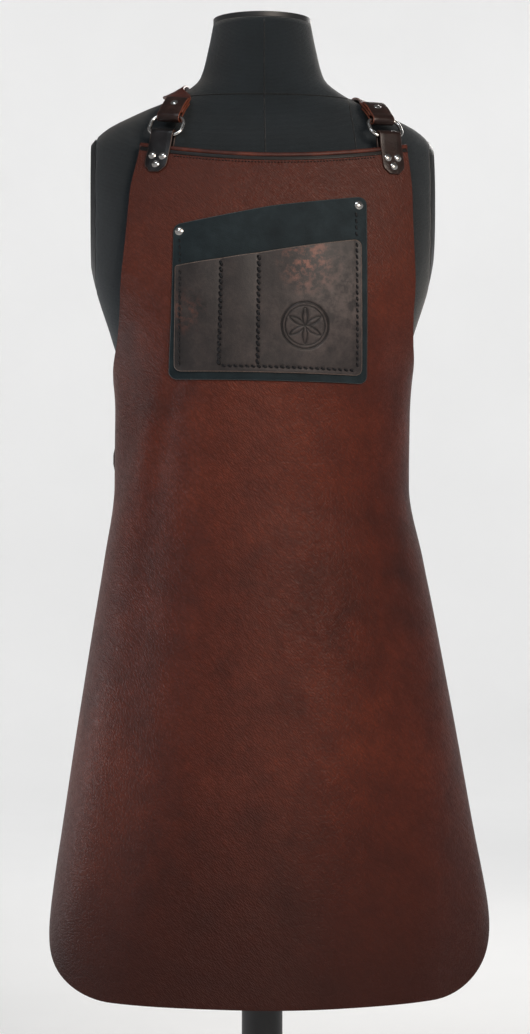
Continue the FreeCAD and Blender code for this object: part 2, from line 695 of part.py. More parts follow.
def riveted_tab(frame, front_length, back_length, back_gap, spots):
    """A strip folded round a ring's bar, a leg on each side of the panel, with its rivets and holes."""
    front = LEATHER / 2 + TAB_FRONT_GAP + LOOP_THICK / 2
    back = -LEATHER / 2 - back_gap - LOOP_THICK / 2
    path = [(-front_length, front), (-15, front), (-8, front + 0.4), (-3, EYE_RADIUS + 0.7)]
    path += eye_points(1)
    path += [(-3, -EYE_RADIUS - 0.8), (-8, back - 0.4), (-15, back), (-back_length, back)]
    tab = band_prism(frame, path, LOOP_THICK, STRAP_WIDTH, TAB_CLIP)
    rivets = []
    holes = []
    for up, across in spots:
        head = frame.at(up, front + LOOP_THICK / 2, across)
        through_both = up - SMALL_HEAD_RADIUS > -back_length
        length = front + LOOP_THICK / 2 + (LOOP_THICK / 2 - back if through_both else LEATHER / 2 + 0.4)
        rivets.append(rivet(head, frame.out, length, SMALL_HEAD_RADIUS))
        holes.append(rivet_hole(head, frame.out))
    return tab.cut(holes), rivets, holes


def chest_frame(side):
    """Frame at the bar above the panel's top edge, where the ring hangs in its tab."""
    share = panel_share(TAB_FOOT_Z, TAB_X[side])
    out = panel_normal(TAB_FOOT_Z, share)
    upward = panel_point(TAB_FOOT_Z + 10, share) - panel_point(TAB_FOOT_Z - 10, share)
    frame = Frame(panel_point(TAB_FOOT_Z, share) + out * (LEATHER / 2), upward, out)
    frame.origin = frame.at((CHEST_BAR_Z - TAB_FOOT_Z) / frame.up.z, 0)
    return frame


def strap_loop(frame, length, radius):
    """Folded leather end that holds a strap; its legs bend back round a large radius."""
    half = LOOP_GAP + LOOP_THICK / 2
    front = []
    back = []
    steps = 6
    for i in range(steps):
        reach = 6 + (length - 6) * i / (steps - 1)
        turn = reach / radius
        front.append(((radius + half) * sin(turn), (radius + half) * cos(turn) - radius))
        back.append(((radius - half) * sin(turn), (radius - half) * cos(turn) - radius))
    bulge = EYE_RADIUS + LOOP_THICK / 2
    path = front[::-1] + [(2.5, bulge - 0.25)] + eye_points(-1) + [(2.5, -bulge + 0.25)] + back
    strip = band_prism(frame, path, LOOP_THICK, STRAP_WIDTH)
    turn = STUD_PLACE * length / radius
    outside = radius + half + LOOP_THICK / 2
    head = frame.at(outside * sin(turn), outside * cos(turn) - radius)
    way = frame.out * cos(turn) + frame.up * sin(turn)
    stud = rivet(head, way, 2 * (LOOP_GAP + LOOP_THICK) + STUD_SPARE, SMALL_HEAD_RADIUS)
    return strip, stud, rivet_hole(head, way)


def waist_frame(sign):
    """Frame on the panel near its back edge, pointing up and round towards the crossing."""
    wrap = interpolate_table(PANEL_LEVELS, WAIST_Z, 4)
    share = sign * WAIST_WRAP / wrap
    base = panel_point(WAIST_Z, share)
    out = panel_normal(WAIST_Z, share)
    edge_way = panel_point(WAIST_Z, share + sign * 0.01) - base
    edge_way.normalize()
    up = edge_way * cos(radians(WAIST_RISE)) + UP * sin(radians(WAIST_RISE))
    return Frame(base + out * (LEATHER / 2), up, out)


def make_chest_end(side):
    """Tab, ring and loop at one bib corner, and what is still to be cut or grouped."""
    frame = chest_frame(side)
    tab, rivets, tab_holes = riveted_tab(frame, TAB_FRONT_LENGTH, TAB_BACK_LENGTH, TAB_BACK_GAP, CHEST_RIVETS)
    save("chest_tab_" + side, tab)
    save("chest_tab_rivets_" + side, Part.makeCompound(rivets))
    ring_frame = frame.leaned(CHEST_TILT[side])
    ring_frame.origin = ring_frame.at(RING_HEIGHT / 2, 0)
    save("chest_ring_" + side, ring_shape(ring_frame))
    report_axis("chest_ring_" + side, ring_frame.origin, ring_frame.across)
    loop_frame = Frame(ring_frame.at(RING_HEIGHT / 2, 0), ring_frame.up, ring_frame.out)
    loop, stud, hole = strap_loop(loop_frame, CHEST_LOOP_LENGTH, SHOULDER_RADIUS)
    save("chest_loop_" + side, loop.cut(hole))
    return loop_frame, stud, hole, tab, tab_holes


def make_waist_end(side, sign, panel):
    """Tab, ring and loop at the panel's back edge, and what is still to be cut or grouped."""
    frame = waist_frame(sign)
    reach = 0.0
    while panel.distToShape(Part.Vertex(frame.at(reach, 0)))[0] < WAIST_EDGE_ROOM:
        reach += 1.0
    frame.origin = frame.at(reach, 0)
    lengths = (WAIST_FRONT_LENGTH, WAIST_BACK_LENGTH)
    tab, rivets, tab_holes = riveted_tab(frame, *lengths, WAIST_BACK_GAP, WAIST_RIVETS)
    save("waist_tab_" + side, tab)
    ring_frame = frame.leaned(WAIST_LEAN)
    ring_frame.origin = ring_frame.at(RING_HEIGHT / 2, 0)
    save("waist_ring_" + side, ring_shape(ring_frame))
    report_axis("waist_ring_" + side, ring_frame.origin, ring_frame.across)
    loop_frame = ring_frame.leaned(WAIST_LEAN)
    loop_frame.origin = ring_frame.at(RING_HEIGHT / 2, 0)
    loop, stud, hole = strap_loop(loop_frame, WAIST_LOOP_LENGTH, WAIST_LOOP_RADIUS)
    save("waist_loop_" + side, loop.cut(hole))
    return loop_frame, stud, hole, rivets, tab_holes


def make_keeper(frame):
    """A narrow leather loop round the strap, its frame's up along the strap."""
    blocks = []
    for grow, length in ((KEEPER_WALL, KEEPER_LENGTH), (0.0, KEEPER_LENGTH + 4)):
        wide = STRAP_WIDTH / 2 + KEEPER_ROOM + grow
        thick = STRAP_THICK / 2 + KEEPER_ROOM + grow
        signs = ((-1, -1), (1, -1), (1, 1), (-1, 1))
        corners = [frame.at(-length / 2, n * thick, w * wide) for n, w in signs]
        blocks.append(Part.Face(Part.makePolygon(corners + [corners[0]])).extrude(frame.up * length))
    return blocks[0].cut(blocks[1])


def make_strap(side, start_frame, end_frame, holes):
    """The shoulder strap from a bib corner to the far waist ring, and the frame of its keeper."""
    keys = strap_key_points(start_frame, end_frame, STRAP_GUIDES[side])
    stations = strap_stations(keys, start_frame, end_frame, side == "right")
    save("shoulder_strap_" + side, make_ribbon(stations, STRAP_THICK).cut(holes))
    index = len(stations) - 1 - int(KEEPER_DISTANCE / STATION_STEP)
    points, normals = stations[index]
    before = stations[index - 1][0][1]
    after = stations[index + 1][0][1]
    return Frame(points[1], before - after, normals[1])


def main():
    make_stand()
    make_mast()
    screw_holes = make_socket()
    form, arm_plates = make_form()
    save("dress_form", form.cut(screw_holes))
    save("neck_cap", make_neck_cap())
    for side, plate in arm_plates.items():
        save("arm_plate_" + side, plate)

    panel, above = make_panel()
    facing = make_facing(above)
    backing, front, back_high = make_pocket()
    pocket_rivets = []
    holes = []
    for x, z in POCKET_RIVETS:
        head = on_panel(x, z, back_high)
        normal = panel_normal(z, panel_share(z, x))
        pocket_rivets.append(rivet(head, normal, back_high + 0.4))
        holes.append(rivet_hole(head, normal))
    panel = panel.cut(holes)
    save("pocket_back", backing.cut(holes))
    save("pocket_front", front)
    save("pocket_rivets", Part.makeCompound(pocket_rivets))

    chest_ends = {}
    chest_studs = []
    for side in ("left", "right"):
        loop_frame, stud, hole, tab, tab_holes = make_chest_end(side)
        panel = panel.cut(tab_holes)
        facing = facing.cut(tab.fuse(tab_holes))
        chest_studs.append(stud)
        chest_ends[side] = (loop_frame, hole)
    save("chest_loop_studs", Part.makeCompound(chest_studs))
    save("top_facing", facing)

    waist_ends = {}
    waist_rivets = []
    waist_studs = []
    for side, sign in (("left", -1), ("right", 1)):
        loop_frame, stud, hole, rivets, tab_holes = make_waist_end(side, sign, panel)
        panel = panel.cut(tab_holes)
        waist_rivets += rivets
        waist_studs.append(stud)
        waist_ends[side] = (loop_frame, hole)
    save("waist_tab_rivets", Part.makeCompound(waist_rivets))
    save("waist_loop_studs", Part.makeCompound(waist_studs))
    save("apron_panel", panel)

    for side, far in (("right", "left"), ("left", "right")):
        start_frame, start_hole = chest_ends[side]
        end_frame, end_hole = waist_ends[far]
        keeper_frame = make_strap(side, start_frame, end_frame, [start_hole, end_hole])
        save("strap_keeper_" + far, make_keeper(keeper_frame))
        report_axis("keeper_" + far, keeper_frame.origin, keeper_frame.up)


main()
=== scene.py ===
from math import cos, pi, radians, sin, tan

import bpy
import numpy as np
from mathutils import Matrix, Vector, geometry


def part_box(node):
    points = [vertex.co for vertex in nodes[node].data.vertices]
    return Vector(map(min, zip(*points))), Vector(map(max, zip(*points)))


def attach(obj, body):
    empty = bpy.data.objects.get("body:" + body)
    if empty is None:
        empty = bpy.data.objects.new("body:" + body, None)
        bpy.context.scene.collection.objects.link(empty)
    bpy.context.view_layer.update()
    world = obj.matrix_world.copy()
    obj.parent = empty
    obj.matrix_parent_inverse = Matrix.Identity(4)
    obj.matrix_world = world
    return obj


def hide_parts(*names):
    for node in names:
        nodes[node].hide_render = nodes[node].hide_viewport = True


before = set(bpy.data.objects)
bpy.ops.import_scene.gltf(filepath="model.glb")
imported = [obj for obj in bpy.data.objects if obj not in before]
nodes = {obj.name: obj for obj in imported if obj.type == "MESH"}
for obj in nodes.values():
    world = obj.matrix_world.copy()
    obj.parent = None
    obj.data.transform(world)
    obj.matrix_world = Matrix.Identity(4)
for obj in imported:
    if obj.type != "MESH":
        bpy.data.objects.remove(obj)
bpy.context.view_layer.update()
MM = 0.001                      # lengths below are in millimetres, as in the CAD source

# ---------------------------------------------------------------- the shapes that the CAD source also has

# Dress form: z, half width, front y, back y, squareness of the section.
FORM_SECTIONS = [
    (720, 148, -98, 96, 2.2), (800, 151, -101, 98, 2.2), (880, 144, -98, 90, 2.2),
    (947, 139, -94, 84, 2.2), (1020, 141, -96, 86, 2.2), (1058, 145, -100, 90, 2.2),
    (1100, 157, -104, 96, 2.2), (1163, 176, -106, 101, 2.2), (1220, 184, -99, 102, 2.2),
    (1265, 186, -84, 97, 2.2), (1295, 182, -70, 88, 2.2), (1315, 166, -59, 78, 2.15),
    (1335, 129, -51, 68, 2.1), (1352, 90, -49, 61, 2.05), (1372, 65, -49, 57, 2.0),
    (1404, 56, -48, 53, 2.0), (1429, 51, -47, 50, 2.0),
]
FORM_BOTTOM = 720.0
FORM_TOP = 1429.0
ARM_PLANE = 173.0

# Apron panel: z, half width of the curve, side y, front y, wrap angle, centre x, squareness.
LEATHER = 2.5
PANEL_LEVELS = [
    (1306, 179, 0, -89, 45.8, 9, 2.2), (1295, 180, 0, -92, 46.4, 9, 2.2),
    (1240, 188, 0, -104, 46.6, 6, 2.3), (1163, 190, 0, -113, 48.4, 3.5, 2.3),
    (1120, 174, 0, -114, 56.5, 2, 2.3), (1090, 163, 0, -113, 67.5, 1, 2.2),
    (1058, 155, 0, -111, 86, 0, 2.1), (1020, 152.5, 2, -108, 103, 0, 2.05),
    (947, 151.5, 4, -108, 112, 0, 2.0), (870, 163.5, 4, -116, 107, 2.5, 2.0),
    (800, 176, 3, -126, 102, 4, 2.0), (700, 193, 0, -140, 95, 5, 2.0),
    (600, 209, -3, -153, 90, 5, 2.0), (500, 226.5, -6, -163, 87, 5.5, 2.0),
    (426, 235, -8, -170, 85, 5.5, 2.0),
]
HEM_Z = 434.0
HEM_CORNER = 150.0
FACING_REACH = 0.67             # share of the bib's width that its facing covers
TOP_CENTRE = (9.0, 1280.0)      # the lowest point of the bib's hollow top edge
TOP_CORNER = (178.0, 1302.0)

LAYER_GAP = 0.25
POCKET_BACK = [(-96, 1053.5, 8), (100, 1049.5, 8), (100, 1237, 8), (5, 1226, 300), (-92, 1207, 8)]
POCKET_BACK_THICK = 2.0
POCKET_FRONT = [(-90.5, 1061.5, 7), (94, 1057.5, 7), (94, 1193.5, 7), (-90.5, 1166, 3)]
POCKET_SKIN = 1.8
DIVIDERS = [((-45.2, 1170.5), (-47, 1067)), ((-8.2, 1176), (-9.5, 1067))]

STRAP_WIDTH = 24.0
STRAP_THICK = 2.6
LOOP_THICK = 2.0
LOOP_GAP = 2.2
EYE_RADIUS = 3.1
RING_HEIGHT = 22.0
TAB_X = {"left": -107.5, "right": 127.5}
TAB_FOOT_Z = 1280.0
CHEST_BAR_Z = 1302.5
TAB_FRONT_LENGTH = 42.0
TAB_BACK_LENGTH = 29.5
WAIST_BACK_LENGTH = 36.0
TAB_CLIP = 7.0
TAB_FRONT_GAP = 0.4
TAB_BACK_GAP = 1.9
WAIST_BACK_GAP = 3.6
CHEST_TILT = {"left": 15.0, "right": 23.0}
CHEST_LOOP_LENGTH = 27.0
SHOULDER_RADIUS = 62.0
WAIST_Z = 968.0
WAIST_WRAP = 98.0
WAIST_RISE = 42.0
WAIST_LEAN = 16.0
WAIST_LOOP_LENGTH = 30.0
WAIST_LOOP_RADIUS = 4000.0
STRAP_LIFT = 2.6
FIRST_LIFT = 3.0
CROSSING = (10.5, 1190.0)
CROSSING_LIFT = 4.5
CROSSING_SPREAD = 30.0
KEEPER_ROOM = 1.6
KEEPER_WALL = 1.2
KEEPER_LENGTH = 9.0
GUIDES = {
    "right": [(117, -28, 1355), (113, 5, 1362), (105, 40, 1350), (90, 75, 1318), (68, 98, 1278),
              (42, 112, 1235), (12, 118, 1188), (-20, 116, 1140), (-48, 108, 1098)],
    "left": [(-97, -28, 1360), (-93, 5, 1366), (-85, 40, 1352), (-70, 78, 1318), (-48, 100, 1278),
             (-20, 115, 1235), (9, 118, 1188), (36, 114, 1143), (56, 106, 1104)],
}


def interpolate(table, z, column):
    """Monotone cubic through the table's rows at the heights z; the first column is the height."""
    rows = np.array(sorted(table), float)
    heights, values = rows[:, 0], rows[:, column]
    slopes = np.diff(values) / np.diff(heights)
    before, after = slopes[:-1], slopes[1:]
    total = np.where(before * after > 0, before + after, 1.0)
    inner = np.where(before * after > 0, 2 * before * after / total, 0.0)
    tangents = np.concatenate([slopes[:1], inner, slopes[-1:]])
    z = np.asarray(z, float)
    i = np.clip(np.searchsorted(heights, z) - 1, 0, len(rows) - 2)
    step = heights[i + 1] - heights[i]
    t = np.clip((z - heights[i]) / step, 0, 1)
    start = (1 + 2 * t) * (1 - t) ** 2 * values[i] + t * (1 - t) ** 2 * step * tangents[i]
    return start + t * t * (3 - 2 * t) * values[i + 1] + t * t * (t - 1) * step * tangents[i + 1]


def unit(vectors):
    return vectors / np.linalg.norm(vectors, axis=-1, keepdims=True)


def signed_power(value, power):
    return np.sign(value) * np.abs(value) ** power


def ease(value):
    share = np.clip(value, 0, 1)
    return share * share * (3 - 2 * share)


def bell(distance, spread):
    return np.exp(-((distance / spread) ** 2))


# ---------------------------------------------------------------- the panel's surface

def panel_base(z, share):
    half, side, front, wrap, centre, square = [interpolate(PANEL_LEVELS, z, i) for i in range(1, 7)]
    angle = np.radians(wrap) * share
    power = 2.0 / square
    x = centre + half * signed_power(np.sin(angle), power)
    y = side - (side - front) * signed_power(np.cos(angle), power)
    return np.stack([x, y, z + 0 * x], axis=-1)


def panel_normal(z, share):
    step = 0.002
    along = panel_base(z, share + step) - panel_base(z, share - step)
    upward = panel_base(z + 1, share) - panel_base(z - 1, share)
    return unit(np.cross(along, upward))


def relief(x, z, share):
    """How far the hanging leather bulges or sinks from its plain curve."""
    ridge_x = np.interp(z, [560, 760, 880, 960, 1030, 1080], [-196, -163, -143, -127, -112, -100])
    width = np.interp(z, [560, 900, 1030], [24, 13, 9])
    height = np.interp(z, [480, 600, 800, 960, 1040, 1100], [0, 2.2, 3.6, 4.6, 3.0, 0])
    bulge = height * bell(x - ridge_x, width)
    bulge = bulge - height * 0.45 * bell(x - ridge_x - 2.0 * width, width)
    bulge = bulge - 4.2 * bell(x + 141, 15) * bell(z - 1052, 52)
    bulge = bulge - 3.0 * bell(x - 134, 17) * bell(z - 1085, 60)
    low = np.clip((1000 - z) / 560, 0, 1) ** 1.4
    bulge = bulge + 2.6 * low * np.sin(share * 7.4 + 0.7) + 1.3 * low * np.sin(share * 15.0 - z / 90)
    creases = np.sin((0.55 * x + 0.84 * z) / 2.9 + 1.6 * np.sin(x / 19)) * bell(x + 118, 24) * bell(z - 1140, 55)
    under = np.sin((0.2 * x + z) / 4.4 + 1.2 * np.sin(x / 23)) * bell(x - 5, 60) * bell(z - 1030, 22)
    return bulge + 0.35 * creases + 0.25 * under


def skin(z, share, offset):
    """A point at that height over the panel's inner face, with its folds."""
    base = panel_base(z, share)
    lift = offset + relief(base[..., 0], base[..., 2], share)
    return base + panel_normal(z, share) * np.asarray(lift)[..., None]


def share_at(z, x):
    wrap, half, centre, square = [interpolate(PANEL_LEVELS, z, i) for i in (4, 1, 5, 6)]
    return np.degrees(np.arcsin(signed_power((x - centre) / half, square / 2))) / wrap


def on_panel(x, z, offset):
    return skin(z, share_at(z, x), offset)


def top_edge(share):
    """Height of the bib's top edge, an arc of a circle in the front view."""
    chord = TOP_CORNER[0] - TOP_CENTRE[0]
    rise = TOP_CORNER[1] - TOP_CENTRE[1]
    radius = (chord ** 2 + rise ** 2) / (2 * rise)
    z = np.full(np.shape(share), 1290.0)
    for _ in range(3):
        x = panel_base(z, share)[..., 0]
        z = TOP_CENTRE[1] + radius - np.sqrt(radius ** 2 - (x - TOP_CENTRE[0]) ** 2)
    return z


# ---------------------------------------------------------------- the form's surface

def form_level(points):
    half, front, back, square = [interpolate(FORM_SECTIONS, points[..., 2], i) for i in range(1, 5)]
    depth = np.where(points[..., 1] >= 0, back, -front)
    inside = np.abs(points[..., 0] / half) ** square + np.abs(points[..., 1] / depth) ** square
    return inside ** (1 / square) - 1


def nearest(points):
    """Points of the form's skin under these, the ways out from it, and the heights above it."""
    def gradient(at):
        ways = np.eye(3) * 0.5
        return np.stack([form_level(at + way) - form_level(at - way) for way in ways], axis=-1)
    foot = np.array(points, float)
    for _ in range(8):
        slope = gradient(foot)
        foot = foot - slope * (form_level(foot) / (slope ** 2).sum(-1))[..., None]
    way = unit(gradient(foot))
    return foot, way, ((points - foot) * way).sum(-1)


class Frame:
    """Local frame of a loop: up along the strap, out from the body, and across."""

    def __init__(self, origin, up, out):
        self.origin = np.array(origin, float)
        self.out = unit(np.array(out, float))
        self.up = unit(up - self.out * np.dot(up, self.out))
        self.across = np.cross(self.up, self.out)

    def at(self, up, out):
        return self.origin + self.up * up + self.out * out

    def leaned(self, angle):
        up = self.up * cos(radians(angle)) - self.out * sin(radians(angle))
        out = self.out * cos(radians(angle)) + self.up * sin(radians(angle))
        return Frame(self.origin, up, out)


# ---------------------------------------------------------------- making meshes

def make_object(name, points, faces, materials, face_materials=None):
    mesh = bpy.data.meshes.new(name)
    mesh.from_pydata([tuple(p) for p in np.asarray(points) * MM], [], [tuple(int(i) for i in f) for f in faces])
    for material in materials:
        mesh.materials.append(material)
    if face_materials is not None:
        mesh.polygons.foreach_set("material_index", np.asarray(face_materials, np.int32))
    mesh.polygons.foreach_set("use_smooth", [True] * len(mesh.polygons))
    mesh.update()
    piece = bpy.data.objects.new(name, mesh)
    bpy.context.scene.collection.objects.link(piece)
    return piece


def grid_faces(rows, columns, wrap_columns=False, wrap_rows=False):
    faces = []
    for i in range(rows if wrap_rows else rows - 1):
        for j in range(columns if wrap_columns else columns - 1):
            below, beside = (i + 1) % rows, (j + 1) % columns
            faces.append([i * columns + j, i * columns + beside, below * columns + beside, below * columns + j])
    return faces


def end_faces(rows, columns):
    """The two faces that close a wrapped grid."""
    return [list(range(columns))[::-1], list(range((rows - 1) * columns, rows * columns))]


def strip_section(half_thick, rounding):
    """Section of a leather strip: (side, inset, out) points, and whether each side's face is a cut edge."""
    t, r = half_thick, rounding
    upper = [(-1, 0, t - r), (-1, 0.3 * r, t - 0.3 * r), (-1, r, t), (-0.5, r, t), (0, r, t), (0.5, r, t),
             (1, r, t), (1, 0.3 * r, t - 0.3 * r), (1, 0, t - r)]
    lower = [(side, inset, -out) for side, inset, out in upper[::-1]]
    section = upper + lower
    edges = [section[k][1] < r or section[(k + 1) % len(section)][1] < r for k in range(len(section))]
    return section, edges


def make_strip(name, place, half_widths, thickness, materials, rounding=0.55, closed=False):
    """A strip of leather; place(w, t) gives its points at distance w across and t out, one for each station."""
    section, edges = strip_section(thickness / 2, rounding)
    half_widths = np.asarray(half_widths, float)
    count, around = len(half_widths), len(section)
    columns = [place(side * (half_widths - inset), out) for side, inset, out in section]
    points = np.stack(columns, axis=1).reshape(-1, 3)
    faces = grid_faces(count, around, wrap_columns=True, wrap_rows=closed)
    kinds = [1 if edges[k % around] else 0 for k in range(len(faces))]
    if not closed:
        faces += end_faces(count, around)
        kinds += [1, 1]
    return make_object(name, points, faces, materials, kinds)


def smooth_path(points):
    """Five times as many points, on a Catmull-Rom curve through these."""
    p = np.array(points, float)
    padded = np.vstack([2 * p[0] - p[1], p, 2 * p[-1] - p[-2]])
    result = []
    for i in range(len(p) - 1):
        a, b, c, d = padded[i:i + 4]
        for t in np.arange(5) / 5:
            result.append(0.5 * (2 * b + (c - a) * t + (2 * a - 5 * b + 4 * c - d) * t ** 2
                                 + (3 * b - a - 3 * c + d) * t ** 3))
    return np.array(result + [p[-1]])


def make_folded(name, where, path, thickness, materials, clip=0.0):
    """A strip that follows a path of (up, out) points in a frame, with its first end's corners cut off."""
    fine = smooth_path(path)
    ahead = unit(np.gradient(fine, axis=0))
    centres = where.origin + fine[:, :1] * where.up + fine[:, 1:] * where.out
    sides = -ahead[:, 1:] * where.up + ahead[:, :1] * where.out
    run = np.concatenate([[0], np.cumsum(np.linalg.norm(np.diff(fine, axis=0), axis=1))])
    widths = np.minimum(STRAP_WIDTH / 2, STRAP_WIDTH / 2 - clip + run + 0.6)
    if clip:
        extra = np.linspace(0, clip, 8)[:-1]
        keep = run > clip
        tips = [centres[0] + unit(centres[1] - centres[0]) * e for e in extra]
        centres = np.vstack([tips, centres[keep]])
        sides = np.vstack([[sides[0]] * len(extra), sides[keep]])
        widths = np.concatenate([STRAP_WIDTH / 2 - clip + extra + 0.3, widths[keep]])

    def place(w, t):
        return centres + np.asarray(w)[:, None] * where.across + sides * t
    return make_strip(name, place, widths, thickness, materials)


AROUND = 8                      # sides of a round thread or cord


def make_tube(points, radius):
    """Points and faces of a round tube along a line of points."""
    p = np.asarray(points, float)
    ahead = unit(np.gradient(p, axis=0))
    helper = np.array([0.13, 0.27, 0.95])
    side = unit(np.cross(ahead, helper))
    other = np.cross(ahead, side)
    angles = 2 * pi * np.arange(AROUND) / AROUND
    ring = np.cos(angles)[None, :, None] * side[:, None] + np.sin(angles)[None, :, None] * other[:, None]
    faces = grid_faces(len(p), AROUND, wrap_columns=True) + end_faces(len(p), AROUND)
    return (p[:, None] + ring * radius).reshape(-1, 3), faces


def gather(parts):
    """Several (points, faces) as one."""
    points, faces, start = [], [], 0
    for some, theirs in parts:
        points.append(some)
        faces += [[start + i for i in face] for face in theirs]
        start += len(some)
    return np.vstack(points), faces


def stitch(centre, way, out, half_length, radius):
    """One stitch of thread that dips into the leather at both ends."""
    way, out = unit(way), unit(out)
    side = np.cross(way, out)
    places = np.array([-1.0, -0.86, -0.5, 0.0, 0.5, 0.86, 1.0])
    sizes = np.array([0.25, 0.75, 0.98, 1.0, 0.98, 0.75, 0.25]) * radius
    dips = -0.75 * radius * np.abs(places) ** 3 + 0.35 * radius
    angles = 2 * pi * np.arange(AROUND) / AROUND
    rings = []
    for place, size, dip in zip(places, sizes, dips):
        middle = centre + way * place * half_length + out * dip
        rings.append(middle + size * (np.cos(angles)[:, None] * side + np.sin(angles)[:, None] * out))
    return np.vstack(rings), grid_faces(len(places), AROUND, wrap_columns=True) + end_faces(len(places), AROUND)


def seam_on_panel(start, end, offset, pitch, half_length, radius, slant):
    """Stitches along a line from start to end, (x, z), each turned from the line by the slant."""
    a, b = np.array(start, float), np.array(end, float)
    length = np.linalg.norm(b - a)
    count = max(2, round(length / pitch))
    along = (b - a) / length
    turned = np.array([along[0] * cos(slant) - along[1] * sin(slant), along[0] * sin(slant) + along[1] * cos(slant)])
    parts = []
    for i in range(count):
        x, z = a + (b - a) * (i + 0.5) / count
        spot = on_panel(x, z, offset(x, z))
        beside = on_panel(x + turned[0], z + turned[1], offset(x, z)) - spot
        parts.append(stitch(spot, beside, panel_normal(z, share_at(z, x)), half_length, radius))
    return parts


# ---------------------------------------------------------------- flat patches with rounded corners

def rounded_outline(corners, step=1.6):
    """Points round a polygon of (x, z, radius) corners, anticlockwise as the corners are."""
    outline = []
    count = len(corners)
    for i, (x, z, radius) in enumerate(corners):
        corner = np.array([x, z], float)
        before = unit(np.array(corners[i - 1][:2], float) - corner)
        after = unit(np.array(corners[(i + 1) % count][:2], float) - corner)
        half = np.arccos(np.clip(before @ after, -1, 1)) / 2
        centre = corner + unit(before + after) * radius / sin(half)
        first = corner + before * radius / tan(half) - centre
        last = corner + after * radius / tan(half) - centre
        turn = np.arctan2(first[0] * last[1] - first[1] * last[0], first @ last)
        bends = max(3, int(abs(turn) * radius / step))
        for k in range(bends + 1):
            angle = turn * k / bends
            outline.append(centre + [first[0] * cos(angle) - first[1] * sin(angle),
                                     first[0] * sin(angle) + first[1] * cos(angle)])
    full = []
    for a, b in zip(outline, outline[1:] + outline[:1]):
        parts = max(1, int(np.linalg.norm(b - a) / step))
        full += [a + (b - a) * k / parts for k in range(parts)]
    return np.array(full)


def edge_distance(points, outline):
    """How far points are from an outline."""
    best = np.full(len(points), 1e9)
    for a, b in zip(outline, np.roll(outline, -1, axis=0)):
        way = b - a
        t = np.clip(((points - a) @ way) / max(way @ way, 1e-9), 0, 1)
        best = np.minimum(best, np.linalg.norm(points - a - t[:, None] * way, axis=1))
    return best


def within(points, outline):
    inside = np.zeros(len(points), bool)
    for a, b in zip(outline, np.roll(outline, -1, axis=0)):
        if a[1] != b[1]:
            crosses = (a[1] > points[:, 1]) != (b[1] > points[:, 1])
            inside ^= crosses & (points[:, 0] < (b[0] - a[0]) * (points[:, 1] - a[1]) / (b[1] - a[1]) + a[0])
    return inside


def make_patch(name, corners, spacing, low, thickness, height, carve, materials, fine=None, rounding=0.7):
    """Leather cut to an outline and laid on the panel; height(x, z) lifts it, carve(x, z) only its outer face."""
    outline = rounded_outline(corners)
    tangents = np.roll(outline, -1, axis=0) - np.roll(outline, 1, axis=0)
    inward = unit(np.stack([-tangents[:, 1], tangents[:, 0]], axis=1))
    loops = [outline + inward * rounding * share for share in (0.0, 0.12, 0.45, 1.0)]
    edges = []
    for k in range(len(loops)):
        size = len(outline)
        edges += [(k * size + i, k * size + (i + 1) % size) for i in range(size)]
    low_corner, high_corner = outline.min(0), outline.max(0)
    grid = np.stack(np.meshgrid(np.arange(low_corner[0], high_corner[0], spacing),
                                np.arange(low_corner[1], high_corner[1], spacing)), axis=-1).reshape(-1, 2)
    if fine:
        centre_x, centre_z, reach, small = fine
        dense = np.stack(np.meshgrid(np.arange(centre_x - reach, centre_x + reach, small),
                                     np.arange(centre_z - reach, centre_z + reach, small)), axis=-1).reshape(-1, 2)
        away = np.abs(grid - [centre_x, centre_z]).max(1)
        grid = np.vstack([grid[away > reach + 0.4 * spacing], dense])
    grid = grid[within(grid, outline)]
    grid = grid[edge_distance(grid, outline) > rounding + 0.35 * spacing]
    flat = np.vstack(loops + [grid])
    made = geometry.delaunay_2d_cdt([Vector(p) for p in flat], edges, [], 0, 1e-5)
    flat = np.array([tuple(v) for v in made[0]])
    triangles = [tuple(face) for face in made[2]]
    depth = np.clip(edge_distance(flat, outline), 0, rounding)
    drop = rounding - np.sqrt(np.maximum(rounding ** 2 - (rounding - depth) ** 2, 0))
    x, z = flat[:, 0], flat[:, 1]
    lifted = low + height(x, z)
    carved = carve(x, z)
    front = on_panel(x, z, lifted + thickness - drop + carved)
    back = on_panel(x, z, lifted)
    size = len(flat)
    faces, kinds, used = [], [], set()
    for face in triangles:
        a, b, c = flat[list(face)]
        if (b[0] - a[0]) * (c[1] - a[1]) - (b[1] - a[1]) * (c[0] - a[0]) < 0:
            face = face[::-1]
        faces.append(face)
        on_edge = depth[list(face)].max() < rounding * 1.01 and depth[list(face)].min() < rounding * 0.9
        # faces down in the pressed lines get material 3, the painted groove shade
        pressed = len(materials) > 3 and carved[list(face)].mean() < -0.62
        kinds.append(1 if on_edge else 3 if pressed else 0)
        for i, j in zip(face, face[1:] + face[:1]):
            used.add((i, j))
    front_count = len(faces)
    for face in faces[:front_count]:
        faces.append(tuple(size + i for i in face[::-1]))
        kinds.append(2)
    for i, j in sorted(used):
        if (j, i) not in used:
            faces.append((j, i, size + i, size + j))
            kinds.append(1)
    return make_object(name, np.vstack([front, back]), faces, materials, kinds)


# ---------------------------------------------------------------- materials

